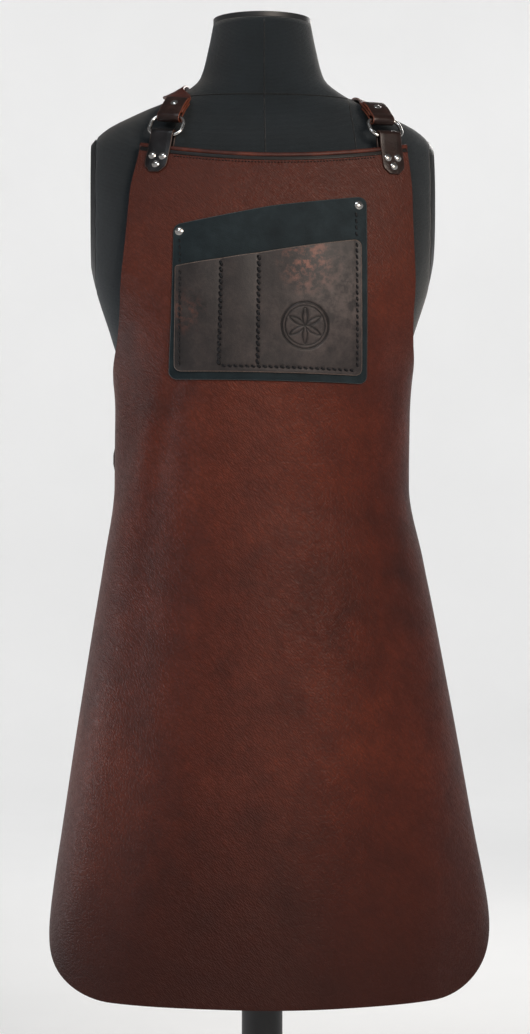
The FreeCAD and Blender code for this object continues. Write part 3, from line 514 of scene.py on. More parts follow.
class Shader:
    """A Principled material and short calls that add nodes to it."""

    def __init__(self, name, **fixed):
        self.material = bpy.data.materials.new(name)
        self.material.use_nodes = True
        self.tree = self.material.node_tree
        self.surface = self.tree.nodes["Principled BSDF"]
        self.coords = self.node("ShaderNodeTexCoord").outputs["Object"]
        for key, value in fixed.items():
            self.surface.inputs[key.replace("_", " ")].default_value = value

    def node(self, kind, settings=(), **inputs):
        made = self.tree.nodes.new(kind)
        for key, value in dict(settings).items():
            setattr(made, key, value)
        for key, value in inputs.items():
            self.put(made.inputs[key.replace("_", " ")], value)
        return made

    def put(self, socket, value):
        if isinstance(value, bpy.types.NodeSocket):
            self.tree.links.new(value, socket)
        else:
            socket.default_value = value

    def set(self, name, value):
        self.put(self.surface.inputs[name], value)

    def stretched(self, size, turn=(0, 0, 0)):
        """Turned coordinates in which one unit is that many metres each way."""
        made = self.node("ShaderNodeMapping", {"vector_type": "TEXTURE"}, Vector=self.coords, Rotation=turn,
                         Scale=size)
        return made.outputs["Vector"]

    def noise(self, size, detail=3.0, rough=0.55, vector=None):
        scale = 1.0 if vector is not None else 1 / size
        source = self.coords if vector is None else vector
        made = self.node("ShaderNodeTexNoise", Vector=source, Scale=scale, Detail=detail, Roughness=rough)
        return made.outputs["Fac"]

    def cells(self, size, feature="F1", vector=None):
        source = self.coords if vector is None else vector
        scale = 1.0 if vector is not None else 1 / size
        made = self.node("ShaderNodeTexVoronoi", {"feature": feature}, Vector=source, Scale=scale)
        return made.outputs["Distance"]

    def ramp(self, value, stops):
        made = self.node("ShaderNodeValToRGB", Fac=value)
        line = made.color_ramp
        while len(line.elements) < len(stops):
            line.elements.new(0.5)
        for element, (place, colour) in zip(line.elements, stops):
            element.position = place
            element.color = (*colour, 1) if hasattr(colour, "__len__") else (colour, colour, colour, 1)
        return made.outputs["Color"]

    def mix(self, share, a, b):
        made = self.node("ShaderNodeMix", {"data_type": "RGBA"})
        for place, value in ((0, share), (6, a), (7, b)):
            if isinstance(value, tuple):
                value = (*value, 1)
            self.put(made.inputs[place], value)
        return made.outputs[2]

    def times(self, a, b):
        made = self.node("ShaderNodeMath", {"operation": "MULTIPLY"})
        self.put(made.inputs[0], a)
        self.put(made.inputs[1], b)
        return made.outputs["Value"]

    def spread(self, value, low, high):
        made = self.node("ShaderNodeMapRange", Value=value, To_Min=low, To_Max=high)
        return made.outputs["Result"]

    def height_share(self, low, high):
        """0 at one height of the object and beyond it, 1 at the other."""
        z = self.node("ShaderNodeSeparateXYZ", Vector=self.coords).outputs["Z"]
        made = self.node("ShaderNodeMapRange", Value=z, From_Min=low, From_Max=high)
        return made.outputs["Result"]

    def bump(self, height, metres, below=None):
        made = self.node("ShaderNodeBump", Height=height, Distance=metres)
        if below is not None:
            self.put(made.inputs["Normal"], below)
        return made.outputs["Normal"]


def srgb(red, green, blue):
    return tuple((c / 255 / 12.92) if c < 10.3 else ((c / 255 + 0.055) / 1.055) ** 2.4 for c in (red, green, blue))


GRAIN = 0.0021                  # metres from pebble to pebble
SLANT = (0, 0.8, 0)             # the grain's rows run down to the right


def full_grain(name, dark, middle, light, painted_top_sheen):
    """Drum-dyed hide: pebbled grain in slanted rows, greyed at the top by painted sheen and darkened towards the hem
    by painted shade.
    """
    s = Shader(name, Specular_IOR_Level=0.2)
    clouds = s.noise(0.2, 3.0, 0.5)
    patches = s.noise(0.03, 5.0, 0.6)
    cloudy = s.mix(0.4, clouds, patches)
    colour = s.ramp(cloudy, [(0.30, dark), (0.5, middle), (0.72, light)])
    pebbles = s.cells(GRAIN, "DISTANCE_TO_EDGE", s.stretched((GRAIN * 2.6, GRAIN * 1.6, GRAIN * 0.9), SLANT))
    rows = s.noise(1, 3.0, 0.62, s.stretched((0.0115, 0.007, 0.0030), SLANT))
    fine = s.noise(0.0009, 3.0, 0.6)
    valleys = s.ramp(pebbles, [(0.0, 0.0), (0.26, 1.0)])
    folds = s.ramp(rows, [(0.34, 0.0), (0.64, 1.0)])
    colour = s.mix(s.spread(valleys, 0.42, 0.0), colour, dark)
    colour = s.mix(s.spread(folds, 0.34, 0.0), colour, dark)
    colour = s.mix(s.spread(s.ramp(fine, [(0.5, 0.0), (0.75, 1.0)]), 0.0, 0.22), colour, light)
    # painted shade: the colour darkens below 0.66 m towards the hem, as the light falls off
    colour = s.mix(s.times(s.height_share(0.66, 0.46), 0.8), colour, dark)
    # painted sheen: the bib is greyed from 1.02 m upwards, as if lit from above
    colour = s.mix(s.times(s.height_share(1.02, 1.26), 0.45), colour, painted_top_sheen)
    s.set("Base Color", colour)
    s.set("Roughness", s.spread(s.mix(0.5, folds, patches), 0.60, 0.40))
    normal = s.bump(valleys, 0.00026, s.bump(rows, 0.0007))
    s.set("Normal", s.bump(fine, 0.00010, normal))
    return s.material


def suede(name, dark, light):
    """The flesh side of the hide, short loose fibres."""
    s = Shader(name, Roughness=0.95, Specular_IOR_Level=0.2, Sheen_Weight=0.35, Sheen_Roughness=0.5)
    nap = s.noise(0.0011, 4.0, 0.7)
    swirl = s.noise(0.028, 4.0, 0.6)
    tones = [s.ramp(swirl, [(0.3, dark), (0.7, light)]), s.ramp(nap, [(0.35, dark), (0.65, light)])]
    s.set("Base Color", s.mix(0.35, *tones))
    s.set("Normal", s.bump(nap, 0.0006))
    return s.material


def cut_edge(name, dark, light):
    """A strap's cut edge: compressed fibres, burnished and waxed."""
    s = Shader(name, Specular_IOR_Level=0.45, Coat_Weight=0.25, Coat_Roughness=0.3)
    fibres = s.noise(1, 4.0, 0.7, s.stretched((0.0009, 0.0009, 0.0030)))
    s.set("Base Color", s.ramp(fibres, [(0.3, dark), (0.7, light)]))
    s.set("Roughness", s.spread(fibres, 0.6, 0.38))
    s.set("Normal", s.bump(fibres, 0.0003))
    return s.material


def smooth_hide(name, dark, middle, light, roughness=(0.3, 0.5), coat=0.1, shine=0.24):
    """Smooth bridle-like leather with faint pores, scratches and waxy bloom."""
    s = Shader(name, Specular_IOR_Level=shine, Coat_Weight=coat, Coat_Roughness=0.28)
    bloom = s.noise(0.022, 5.0, 0.65)
    pores = s.cells(0.0008, "F1")
    scratches = s.noise(1, 5.0, 0.75, s.stretched((0.016, 0.012, 0.0012), (0.2, 0.35, 0.3)))
    colour = s.ramp(bloom, [(0.3, dark), (0.52, middle), (0.74, light)])
    marks = s.ramp(scratches, [(0.57, 0.0), (0.72, 1.0)])
    colour = s.mix(s.spread(marks, 0.0, 0.22), colour, light)
    s.set("Base Color", colour)
    s.set("Roughness", s.spread(s.mix(0.5, bloom, marks), roughness[0], roughness[1]))
    normal = s.bump(pores, 0.00009)
    s.set("Normal", s.bump(scratches, 0.00025, normal))
    return s.material


def worn_hide(name):
    """The pocket's front: oiled black leather rubbed through to pink and grey, most at its upper right."""
    s = Shader(name, Specular_IOR_Level=0.26, Coat_Weight=0.08, Coat_Roughness=0.35)
    base = s.noise(0.03, 5.0, 0.66)
    fine = s.noise(0.0032, 4.0, 0.7)
    tones = [(0.3, srgb(27, 26, 27)), (0.5, srgb(44, 40, 40)), (0.72, srgb(66, 58, 56))]
    colour = s.ramp(s.mix(0.3, base, fine), tones)

    def rubbed(centre, size, amount, low, high, tint):
        """Blotches of a tint, strongest at a point of the leather."""
        nonlocal colour
        place = s.node("ShaderNodeVectorMath", {"operation": "DISTANCE"})
        s.put(place.inputs[0], s.coords)
        place.inputs[1].default_value = [c * MM for c in centre]
        near = s.node("ShaderNodeMapRange", Value=place.outputs["Value"], From_Max=size, To_Min=1.0, To_Max=0.0)
        blot = s.ramp(s.noise(0.011, 6.0, 0.7), [(low, 0.0), (high, 1.0)])
        share = s.times(s.times(near.outputs["Result"], blot), amount)
        colour = s.mix(share, colour, tint)

    rubbed((43, -122, 1168), 0.036, 1.5, 0.48, 0.66, srgb(134, 80, 64))
    rubbed((80, -112, 1140), 0.080, 0.85, 0.40, 0.66, srgb(92, 82, 79))
    rubbed((-84, -112, 1120), 0.026, 0.9, 0.48, 0.64, srgb(104, 62, 50))
    rubbed((40, -118, 1095), 0.12, 0.4, 0.36, 0.66, srgb(80, 69, 67))
    s.set("Base Color", colour)
    s.set("Roughness", s.spread(s.mix(0.4, base, fine), 0.38, 0.66))
    normal = s.bump(s.cells(0.0010, "DISTANCE_TO_EDGE"), 0.00016)
    s.set("Normal", s.bump(fine, 0.00035, normal))
    return s.material


def thread(name, dark, light):
    """Waxed thread, its strands twisted."""
    s = Shader(name, Roughness=0.45, Specular_IOR_Level=0.3)
    twist = s.node("ShaderNodeTexWave", {"wave_type": "BANDS", "bands_direction": "DIAGONAL"}, Vector=s.coords,
                   Scale=420.0, Distortion=1.5).outputs["Fac"]
    s.set("Base Color", s.ramp(twist, [(0.2, dark), (0.8, light)]))
    s.set("Normal", s.bump(twist, 0.0002))
    return s.material


def jersey(name, dark, light):
    """Knitted cloth stretched over the form."""
    s = Shader(name, Roughness=0.86, Specular_IOR_Level=0.25, Sheen_Weight=0.25, Sheen_Roughness=0.45)
    loops = s.node("ShaderNodeTexWave", {"wave_type": "BANDS", "bands_direction": "Z"}, Vector=s.coords, Scale=230.0,
                   Distortion=2.2, Detail=2.0, Detail_Scale=3.0).outputs["Fac"]
    ribs = s.node("ShaderNodeTexWave", {"wave_type": "BANDS", "bands_direction": "X"}, Vector=s.coords, Scale=300.0,
                  Distortion=1.4).outputs["Fac"]
    weave = s.mix(0.5, loops, ribs)
    lint = s.noise(0.0016, 5.0, 0.75)
    mottled = s.noise(0.035, 5.0, 0.7)
    tone = s.mix(0.35, s.mix(0.45, mottled, lint), weave)
    s.set("Base Color", s.ramp(tone, [(0.3, dark), (0.7, light)]))
    s.set("Normal", s.bump(lint, 0.0003, s.bump(weave, 0.00035)))
    return s.material


def metal(name, colour, roughness):
    """Plated or bare metal with hairline scratches and dulled patches."""
    s = Shader(name, Metallic=1.0, Specular_IOR_Level=0.5)
    dull = s.noise(0.006, 4.0, 0.6)
    hair = s.noise(1, 5.0, 0.8, s.stretched((0.0006, 0.0075, 0.0075), (0.4, 0.9, 0.2)))
    darker = tuple(c * 0.62 for c in colour)
    s.set("Base Color", s.mix(s.spread(s.ramp(dull, [(0.45, 0.0), (0.75, 1.0)]), 0.0, 0.6), colour, darker))
    s.set("Roughness", s.spread(s.mix(0.5, dull, hair), roughness[0], roughness[1]))
    s.set("Normal", s.bump(hair, 0.00003))
    return s.material


def powder_coat(name, colour):
    """Orange-peel black paint, slightly dusty."""
    s = Shader(name, Specular_IOR_Level=0.5)
    peel = s.noise(0.0012, 2.0, 0.5)
    dust = s.noise(0.05, 5.0, 0.7)
    lighter = tuple(c * 1.9 + 0.004 for c in colour)
    s.set("Base Color", s.mix(s.ramp(dust, [(0.42, 0.0), (0.8, 0.75)]), colour, lighter))
    s.set("Roughness", s.spread(s.mix(0.4, peel, dust), 0.42, 0.56))
    s.set("Normal", s.bump(peel, 0.00012))
    return s.material


def moulded(name, colour, roughness=(0.4, 0.55)):
    """Spark-eroded plastic."""
    s = Shader(name, Specular_IOR_Level=0.5)
    texture = s.cells(0.0009, "F1")
    wear = s.noise(0.012, 5.0, 0.7)
    lighter = tuple(c * 1.7 + 0.004 for c in colour)
    s.set("Base Color", s.mix(s.ramp(wear, [(0.5, 0.0), (0.8, 0.8)]), colour, lighter))
    s.set("Roughness", s.spread(wear, roughness[0], roughness[1]))
    s.set("Normal", s.bump(texture, 0.00008))
    return s.material


# the last colour is the painted sheen tint of the bib's top
BROWN = full_grain("brown_full_grain", srgb(46, 17, 11), srgb(84, 33, 20), srgb(108, 46, 27), srgb(66, 40, 34))
BROWN_EDGE = cut_edge("brown_edge", srgb(34, 18, 14), srgb(74, 40, 28))
FLESH = suede("brown_suede", srgb(70, 42, 32), srgb(120, 82, 62))
LIP = smooth_hide("russet_lip", srgb(46, 20, 15), srgb(68, 30, 21), srgb(98, 48, 34), (0.4, 0.56), 0.03)
# near-black strip under the bib's lip: painted shadow of the lip's overhang
BLACK_PAINTED_LIP_SHADOW = smooth_hide("black_painted_lip_shadow", srgb(8, 6, 6), srgb(14, 11, 11), srgb(26, 20, 20), (0.5, 0.6))
BACKING = smooth_hide("black_hide", srgb(20, 28, 32), srgb(28, 37, 41), srgb(37, 47, 51), (0.6, 0.75), 0.0, 0.12)
BLACK_EDGE = cut_edge("black_edge", srgb(18, 25, 27), srgb(44, 60, 62))
WORN = worn_hide("worn_hide")
WORN_EDGE = cut_edge("worn_edge", srgb(44, 37, 34), srgb(112, 93, 82))
DARK = smooth_hide("dark_brown_hide", srgb(24, 15, 13), srgb(39, 25, 22), srgb(62, 43, 37), (0.28, 0.45), 0.2)
NEAR_BLACK = smooth_hide("near_black_hide", srgb(12, 11, 12), srgb(20, 18, 20), srgb(40, 37, 39), (0.28, 0.42), 0.2)
RED_STRAP = smooth_hide("red_brown_hide", srgb(48, 17, 10), srgb(76, 29, 17), srgb(108, 46, 26), (0.3, 0.48), 0.15)
TAN_EDGE = cut_edge("tan_edge", srgb(72, 33, 20), srgb(128, 64, 40))
# near-black for the rosette's pressed lines: painted shade in the grooves
GROOVE_SHADE = smooth_hide("painted_groove_shade", srgb(20, 18, 18), srgb(31, 28, 28), srgb(46, 41, 40), (0.3, 0.42))
DARK_EDGE = cut_edge("dark_edge", srgb(30, 19, 16), srgb(74, 45, 34))
BLACK_THREAD = thread("black_thread", srgb(5, 5, 8), srgb(18, 18, 23))
BROWN_THREAD = thread("brown_thread", srgb(14, 8, 7), srgb(38, 21, 17))
CLOTH = jersey("black_jersey", srgb(12, 17, 20), srgb(30, 38, 43))
PIPING = jersey("seam_tape", srgb(9, 11, 12), srgb(22, 26, 29))
NICKEL = metal("nickel", (0.56, 0.54, 0.52), (0.14, 0.32))
STEEL = metal("steel", (0.52, 0.52, 0.53), (0.24, 0.42))
BLACK_METAL = powder_coat("black_metal", srgb(24, 25, 27))
BLACK_PLASTIC = moulded("black_plastic", srgb(23, 24, 26))
RUBBER = moulded("rubber", srgb(30, 30, 31), (0.75, 0.9))

NODE_MATERIALS = {
    NICKEL: ["pocket_rivets", "chest_tab_rivets_left", "chest_tab_rivets_right", "chest_ring_left",
             "chest_ring_right", "chest_loop_studs", "waist_tab_rivets", "waist_ring_left", "waist_ring_right",
             "waist_loop_studs"],
    STEEL: ["clamp_screw", "socket_screws", "torso_socket"],
    BLACK_METAL: ["base_plate", "lower_tube", "height_collar", "mast"],
    BLACK_PLASTIC: ["guide_bush", "clamp_knob", "mast_plug", "neck_cap", "arm_plate_left", "arm_plate_right"],
    RUBBER: ["base_pad"],
}


def dress_nodes():
    for material, names in NODE_MATERIALS.items():
        for name in names:
            mesh = nodes[name].data
            mesh.materials.clear()
            mesh.materials.append(material)


# ---------------------------------------------------------------- the apron's pieces

def make_panel():
    columns_inside = 110
    corner_steps = 34
    rows = 210
    hem_length = np.linalg.norm(np.diff(panel_base(HEM_Z, np.linspace(-1, 1, 400)), axis=0), axis=1).sum()
    corner_share = 2 * HEM_CORNER / hem_length
    bend = 1 - np.cos(np.linspace(0, pi / 2, corner_steps, endpoint=False))
    left = -1 + corner_share * bend
    shares = np.concatenate([left, np.linspace(-1 + corner_share, 1 - corner_share, columns_inside), -left[::-1]])
    from_edge = np.clip((1 - np.abs(shares)) / corner_share, 0, 1)
    bottom = HEM_Z + HEM_CORNER * (1 - np.sqrt(1 - (1 - from_edge) ** 2))
    top = top_edge(shares)
    heights = bottom[None, :] + (top - bottom)[None, :] * np.linspace(0, 1, rows)[:, None]
    every = np.broadcast_to(shares, heights.shape)
    points = skin(heights, every, 0.0)
    faces = grid_faces(*heights.shape)
    panel = make_object("apron_leather", points.reshape(-1, 3), faces, [BROWN, FLESH, BROWN_EDGE])
    solid = panel.modifiers.new("thickness", "SOLIDIFY")
    solid.thickness = LEATHER * MM
    solid.offset = 1.0
    solid.material_offset = 1
    solid.material_offset_rim = 2
    bevel = panel.modifiers.new("soft_edge", "BEVEL")
    bevel.width = 0.7 * MM
    bevel.segments = 2
    bevel.limit_method = "ANGLE"
    bevel.angle_limit = radians(60)
    return apply_modifiers(panel)


def apply_modifiers(piece):
    bpy.context.view_layer.update()
    made = bpy.data.meshes.new_from_object(piece.evaluated_get(bpy.context.evaluated_depsgraph_get()))
    piece.modifiers.clear()
    piece.data = made
    return piece


def edge_strip(name, below, half_height, offset, thickness, materials, reach=1.0, rounding=0.6):
    """A strip that follows the bib's top edge, its middle that far below it."""
    shares = np.linspace(-reach, reach, 121)
    z = top_edge(shares) - below
    middle = skin(z, shares, offset)
    out = panel_normal(z, shares)
    along = unit(np.gradient(middle, axis=0))
    up = np.cross(out, along)

    def place(w, t):
        return middle + up * np.asarray(w)[:, None] + out * t
    return make_strip(name, place, np.full(len(shares), half_height), thickness, materials, rounding)


def make_top_stitches():
    pitch, below_edge = 3.3, 9.4
    shares = np.linspace(-FACING_REACH, FACING_REACH, 400)
    line = skin(top_edge(shares) - below_edge, shares, LEATHER)
    run = np.concatenate([[0], np.cumsum(np.linalg.norm(np.diff(line, axis=0), axis=1))])
    parts = []
    for at in np.arange(pitch / 2, run[-1], pitch):
        share = np.interp(at, run, shares)
        z = top_edge(share) - below_edge
        spot = skin(z, share, LEATHER + 0.1)
        ahead = skin(z, share + 0.01, LEATHER + 0.1) - spot
        parts.append(stitch(spot, ahead, panel_normal(z, share), 1.15, 0.6))
    points, faces = gather(parts)
    return make_object("bib_edge_stitches", points, faces, [BROWN_THREAD])


BACK_LOW = LEATHER + LAYER_GAP
FRONT_LOW = BACK_LOW + POCKET_BACK_THICK + 0.15
SEAMS = {"left": ((-85.5, 1162), (-85.5, 1067)), "right": ((89, 1190), (89, 1066)),
         "bottom": ((-45, 1066.5), (86, 1063)), "divider_left": DIVIDERS[0], "divider_right": DIVIDERS[1]}


def line_distance(x, z, start, end):
    a, b = np.array(start, float), np.array(end, float)
    way = b - a
    t = np.clip(((x - a[0]) * way[0] + (z - a[1]) * way[1]) / (way @ way), -0.06, 1.06)
    return np.hypot(x - a[0] - t * way[0], z - a[1] - t * way[1])


def pocket_lift(x, z):
    """The pockets' fullness between their seams, most at their mouths."""
    walls = [-85.5 + 0 * z]
    for top, bottom in DIVIDERS:
        walls.append(bottom[0] + (top[0] - bottom[0]) * (z - bottom[1]) / (top[1] - bottom[1]))
    walls.append(89 + 0 * z)
    lift = 0 * x
    for low, high, fullness in zip(walls, walls[1:], (1.5, 1.4, 2.8)):
        share = np.clip((x - low) / (high - low), 0, 1)
        lift = lift + fullness * np.sin(pi * share) ** 1.3
    return lift * ease((z - 1068) / 70)


MOTIF = (37.0, 1106.0)
MOTIF_RADIUS = 18.0


def motif_depth(x, z):
    """A pressed six-petal rosette in a double ring."""
    dx, dz = x - MOTIF[0], z - MOTIF[1]
    away = np.hypot(dx, dz)
    lines = np.maximum(1.2 * bell(away - MOTIF_RADIUS - 4.9, 1.1), bell(away - MOTIF_RADIUS - 1.5, 0.7))
    for k in range(6):
        angle = pi / 6 + k * pi / 3
        arc = np.hypot(dx - MOTIF_RADIUS * cos(angle), dz - MOTIF_RADIUS * sin(angle)) - MOTIF_RADIUS
        lines = np.maximum(lines, bell(arc, 1.0) * (away < MOTIF_RADIUS + 0.4))
    return -1.1 * lines


def front_carve(x, z):
    groove = 0 * x
    for start, end in SEAMS.values():
        groove = np.maximum(groove, bell(line_distance(x, z, start, end), 1.7))
    return motif_depth(x, z) - 0.48 * groove


def flat_lift(x, z):
    return 0 * x


def back_carve(x, z):
    side = np.maximum(bell(x + 88, 1.4), bell(x - 89, 1.4)) * (z > 1150)
    return -0.35 * side


def make_pocket():
    backing = make_patch("pocket_backing", POCKET_BACK, 3.0, BACK_LOW, POCKET_BACK_THICK, flat_lift, back_carve,
                         [BACKING, BLACK_EDGE, BACKING])
    front = make_patch("pocket_front_leather", POCKET_FRONT, 1.6, FRONT_LOW, POCKET_SKIN, pocket_lift, front_carve,
                       [WORN, WORN_EDGE, FLESH, GROOVE_SHADE], fine=(*MOTIF, 26.0, 0.6), rounding=0.9)

    def front_offset(x, z):
        return FRONT_LOW + POCKET_SKIN + float(pocket_lift(x, z)) - 0.35

    def back_offset(x, z):
        return BACK_LOW + POCKET_BACK_THICK - 0.15

    parts = []
    for line, offset, pitch, half_length, radius, slant in (
            (SEAMS["divider_left"], front_offset, 6.2, 3.1, 1.45, 28),
            (SEAMS["divider_right"], front_offset, 6.2, 3.1, 1.45, 28),
            (SEAMS["right"], front_offset, 5.8, 2.4, 1.15, 16),
            (SEAMS["left"], front_offset, 5.8, 2.4, 1.0, 16),
            (SEAMS["bottom"], front_offset, 5.6, 2.4, 1.15, -24),
            (((89, 1221), (89, 1195)), back_offset, 5.8, 2.3, 0.95, 16),
            (((-86, 1194), (-85.6, 1168)), back_offset, 5.8, 2.2, 0.8, 16)):
        parts += seam_on_panel(*line, offset, pitch, half_length, radius, radians(slant))
    points, faces = gather(parts)
    stitches = make_object("pocket_stitches", points, faces, [BLACK_THREAD])
    return backing, front, stitches


# ---------------------------------------------------------------- tabs, loops and straps

def eye_points(direction):
    radius = EYE_RADIUS + LOOP_THICK / 2
    angles = [pi / 2 - pi * i / 8 for i in range(9)]
    return [(direction * radius * cos(a), radius * sin(a)) for a in angles]


def tab_path(back_length, back_gap):
    front = LEATHER / 2 + TAB_FRONT_GAP + LOOP_THICK / 2
    back = -LEATHER / 2 - back_gap - LOOP_THICK / 2
    path = [(-TAB_FRONT_LENGTH, front), (-26, front), (-15, front), (-8, front + 0.4), (-3, EYE_RADIUS + 0.7)]
    path += eye_points(1)
    return path + [(-3, -EYE_RADIUS - 0.8), (-8, back - 0.4), (-15, back), (-back_length, back)]


def loop_path(length, radius):
    half = LOOP_GAP + LOOP_THICK / 2
    turns = [(6 + (length - 6) * i / 5) / radius for i in range(6)]
    front = [((radius + half) * sin(t), (radius + half) * cos(t) - radius) for t in turns]
    back = [((radius - half) * sin(t), (radius - half) * cos(t) - radius) for t in turns]
    bulge = EYE_RADIUS + LOOP_THICK / 2
    return front[::-1] + [(2.5, bulge - 0.25)] + eye_points(-1) + [(2.5, -bulge + 0.25)] + back


def chest_frame(side):
    x = TAB_X[side]
    share = float(share_at(TAB_FOOT_Z, x))
    out = panel_normal(TAB_FOOT_Z, share)
    upward = panel_base(TAB_FOOT_Z + 10, share) - panel_base(TAB_FOOT_Z - 10, share)
    where = Frame(panel_base(TAB_FOOT_Z, share) + out * (LEATHER / 2), upward, out)
    where.origin = where.at((CHEST_BAR_Z - TAB_FOOT_Z) / where.up[2], 0)
    return where


def waist_frame(sign, reach):
    wrap = interpolate(PANEL_LEVELS, WAIST_Z, 4)
    share = sign * WAIST_WRAP / wrap
    base = panel_base(WAIST_Z, share)
    out = panel_normal(WAIST_Z, share)
    edge_way = unit(panel_base(WAIST_Z, share + sign * 0.01) - base)
    up = edge_way * cos(radians(WAIST_RISE)) + np.array([0, 0, 1]) * sin(radians(WAIST_RISE))
    where = Frame(base + out * (LEATHER / 2), up, out)
    where.origin = where.at(reach, 0)
    return where


def spline_through(keys, step):
    """Evenly spaced points on a natural cubic spline through the keys."""
    p = np.array(keys, float)
    u = np.concatenate([[0], np.cumsum(np.linalg.norm(np.diff(p, axis=0), axis=1))])
    h = np.diff(u)
    n = len(p)
    matrix, right = np.eye(n), np.zeros((n, 3))
    for i in range(1, n - 1):
        matrix[i, i - 1:i + 2] = h[i - 1], 2 * (h[i - 1] + h[i]), h[i]
        right[i] = 6 * ((p[i + 1] - p[i]) / h[i] - (p[i] - p[i - 1]) / h[i - 1])
    bend = np.linalg.solve(matrix, right)
    fine = []
    for i in range(n - 1):
        for t in np.linspace(0, h[i], 24, endpoint=False):
            a, b = (h[i] - t), t
            fine.append(bend[i] * a ** 3 / (6 * h[i]) + bend[i + 1] * b ** 3 / (6 * h[i])
                        + (p[i] / h[i] - bend[i] * h[i] / 6) * a + (p[i + 1] / h[i] - bend[i + 1] * h[i] / 6) * b)
    fine = np.array(fine + [p[-1]])
    run = np.concatenate([[0], np.cumsum(np.linalg.norm(np.diff(fine, axis=0), axis=1))])
    at = np.linspace(0, run[-1], int(run[-1] / step) + 1)
    return np.stack([np.interp(at, run, fine[:, k]) for k in range(3)], axis=1), run[-1]


def strap_route(start, end, guides):
    keys = []
    for reach in (7, 14, 21, 28):
        turn = reach / SHOULDER_RADIUS
        keys.append(start.at(SHOULDER_RADIUS * sin(turn), SHOULDER_RADIUS * (cos(turn) - 1)))
    for i, guide in enumerate(guides):
        foot, way, _ = nearest(np.array(guide, float))
        keys.append(foot + way * (STRAP_LIFT + FIRST_LIFT / (1 + i)))
    for reach in (70, 50, 34, 27, 20, 13, 7):
        keys.append(end.at(reach, 0))
    return keys


def make_strap(name, start, end, guides, over, keeper_node):
    """The strap lies flat on the form between its two loops. Returns it and the frame of its keeper."""
    middle, length = spline_through(strap_route(start, end, guides), 6.0)
    count = len(middle)
    run = np.linspace(0, length, count)
    ahead = unit(np.gradient(middle, axis=0))
    _, way, distance = nearest(middle)
    at_start = (1 - ease((run - 26) / 40))[:, None]
    at_end = (1 - ease((length - run - 34) / 60))[:, None]
    turn = (np.minimum(7 + run, 40.0) / SHOULDER_RADIUS)[:, None]
    slot_way = start.out * np.cos(turn) + start.up * np.sin(turn)
    way = way * (1 - at_start) * (1 - at_end) + slot_way * at_start + end.out * at_end
    across = unit(np.cross(ahead, way))
    out = np.cross(across, ahead)
    lift = np.maximum(STRAP_LIFT, distance)[:, None]
    centre = middle + out * (lift - distance[:, None]) * (1 - at_start) * (1 - at_end)
    if over:
        from_middle = np.hypot(middle[:, 0] - CROSSING[0], middle[:, 2] - CROSSING[1])
        extra = (CROSSING_LIFT * bell(from_middle, CROSSING_SPREAD))[:, None]
        centre = centre + out * extra
        lift = lift + extra
    hug = (1 - ease((distance[:, None] - 4) / 8)) * (1 - at_start) * (1 - at_end)

    def place(w, t):
        flat = centre + across * np.asarray(w)[:, None]
        foot, side_way, _ = nearest(flat)
        point = flat * (1 - hug) + (foot + side_way * lift) * hug
        normal = unit(out * (1 - hug) + side_way * hug)
        return point + normal * t

    strap = make_strip(name, place, np.full(count, STRAP_WIDTH / 2), STRAP_THICK, [RED_STRAP, TAN_EDGE])
    keeper_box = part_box(keeper_node)
    keeper_middle = np.array((keeper_box[0] + keeper_box[1]) / 2) / MM
    at = int(np.argmin(np.linalg.norm(centre - keeper_middle, axis=1)))
    return strap, Frame(centre[at], -ahead[at], out[at])


def make_keeper(name, where):
    """A narrow loop of leather round the strap."""
    half_w = STRAP_WIDTH / 2 + KEEPER_ROOM + KEEPER_WALL / 2
    half_t = STRAP_THICK / 2 + KEEPER_ROOM + KEEPER_WALL / 2
    corner = 1.5
    ring, ways = [], []
    for sw, st, start in ((1, 1, 0), (-1, 1, 90), (-1, -1, 180), (1, -1, 270)):
        for k in range(5):
            angle = radians(start + 22.5 * k)
            ring.append((sw * (half_w - corner) + corner * cos(angle), st * (half_t - corner) + corner * sin(angle)))
            ways.append((cos(angle), sin(angle)))
    ring, ways = np.array(ring), np.array(ways)
    centres = where.origin + ring[:, :1] * where.across + ring[:, 1:] * where.out
    outs = ways[:, :1] * where.across + ways[:, 1:] * where.out

    def place(w, t):
        return centres + np.asarray(w)[:, None] * where.up + outs * t
    half_widths = np.full(len(ring), KEEPER_LENGTH / 2)
    return make_strip(name, place, half_widths, KEEPER_WALL, [DARK, TAN_EDGE], 0.3, closed=True)


# ---------------------------------------------------------------- the dress form

def form_point(x, z, back):
    half, front, rear, square = [interpolate(FORM_SECTIONS, z, i) for i in range(1, 5)]
    depth = np.where(back, rear, front)
    y = depth * (1 - np.minimum(np.abs(x / half), 1) ** square) ** (1 / square)
    return np.stack([x, y, z], axis=-1)


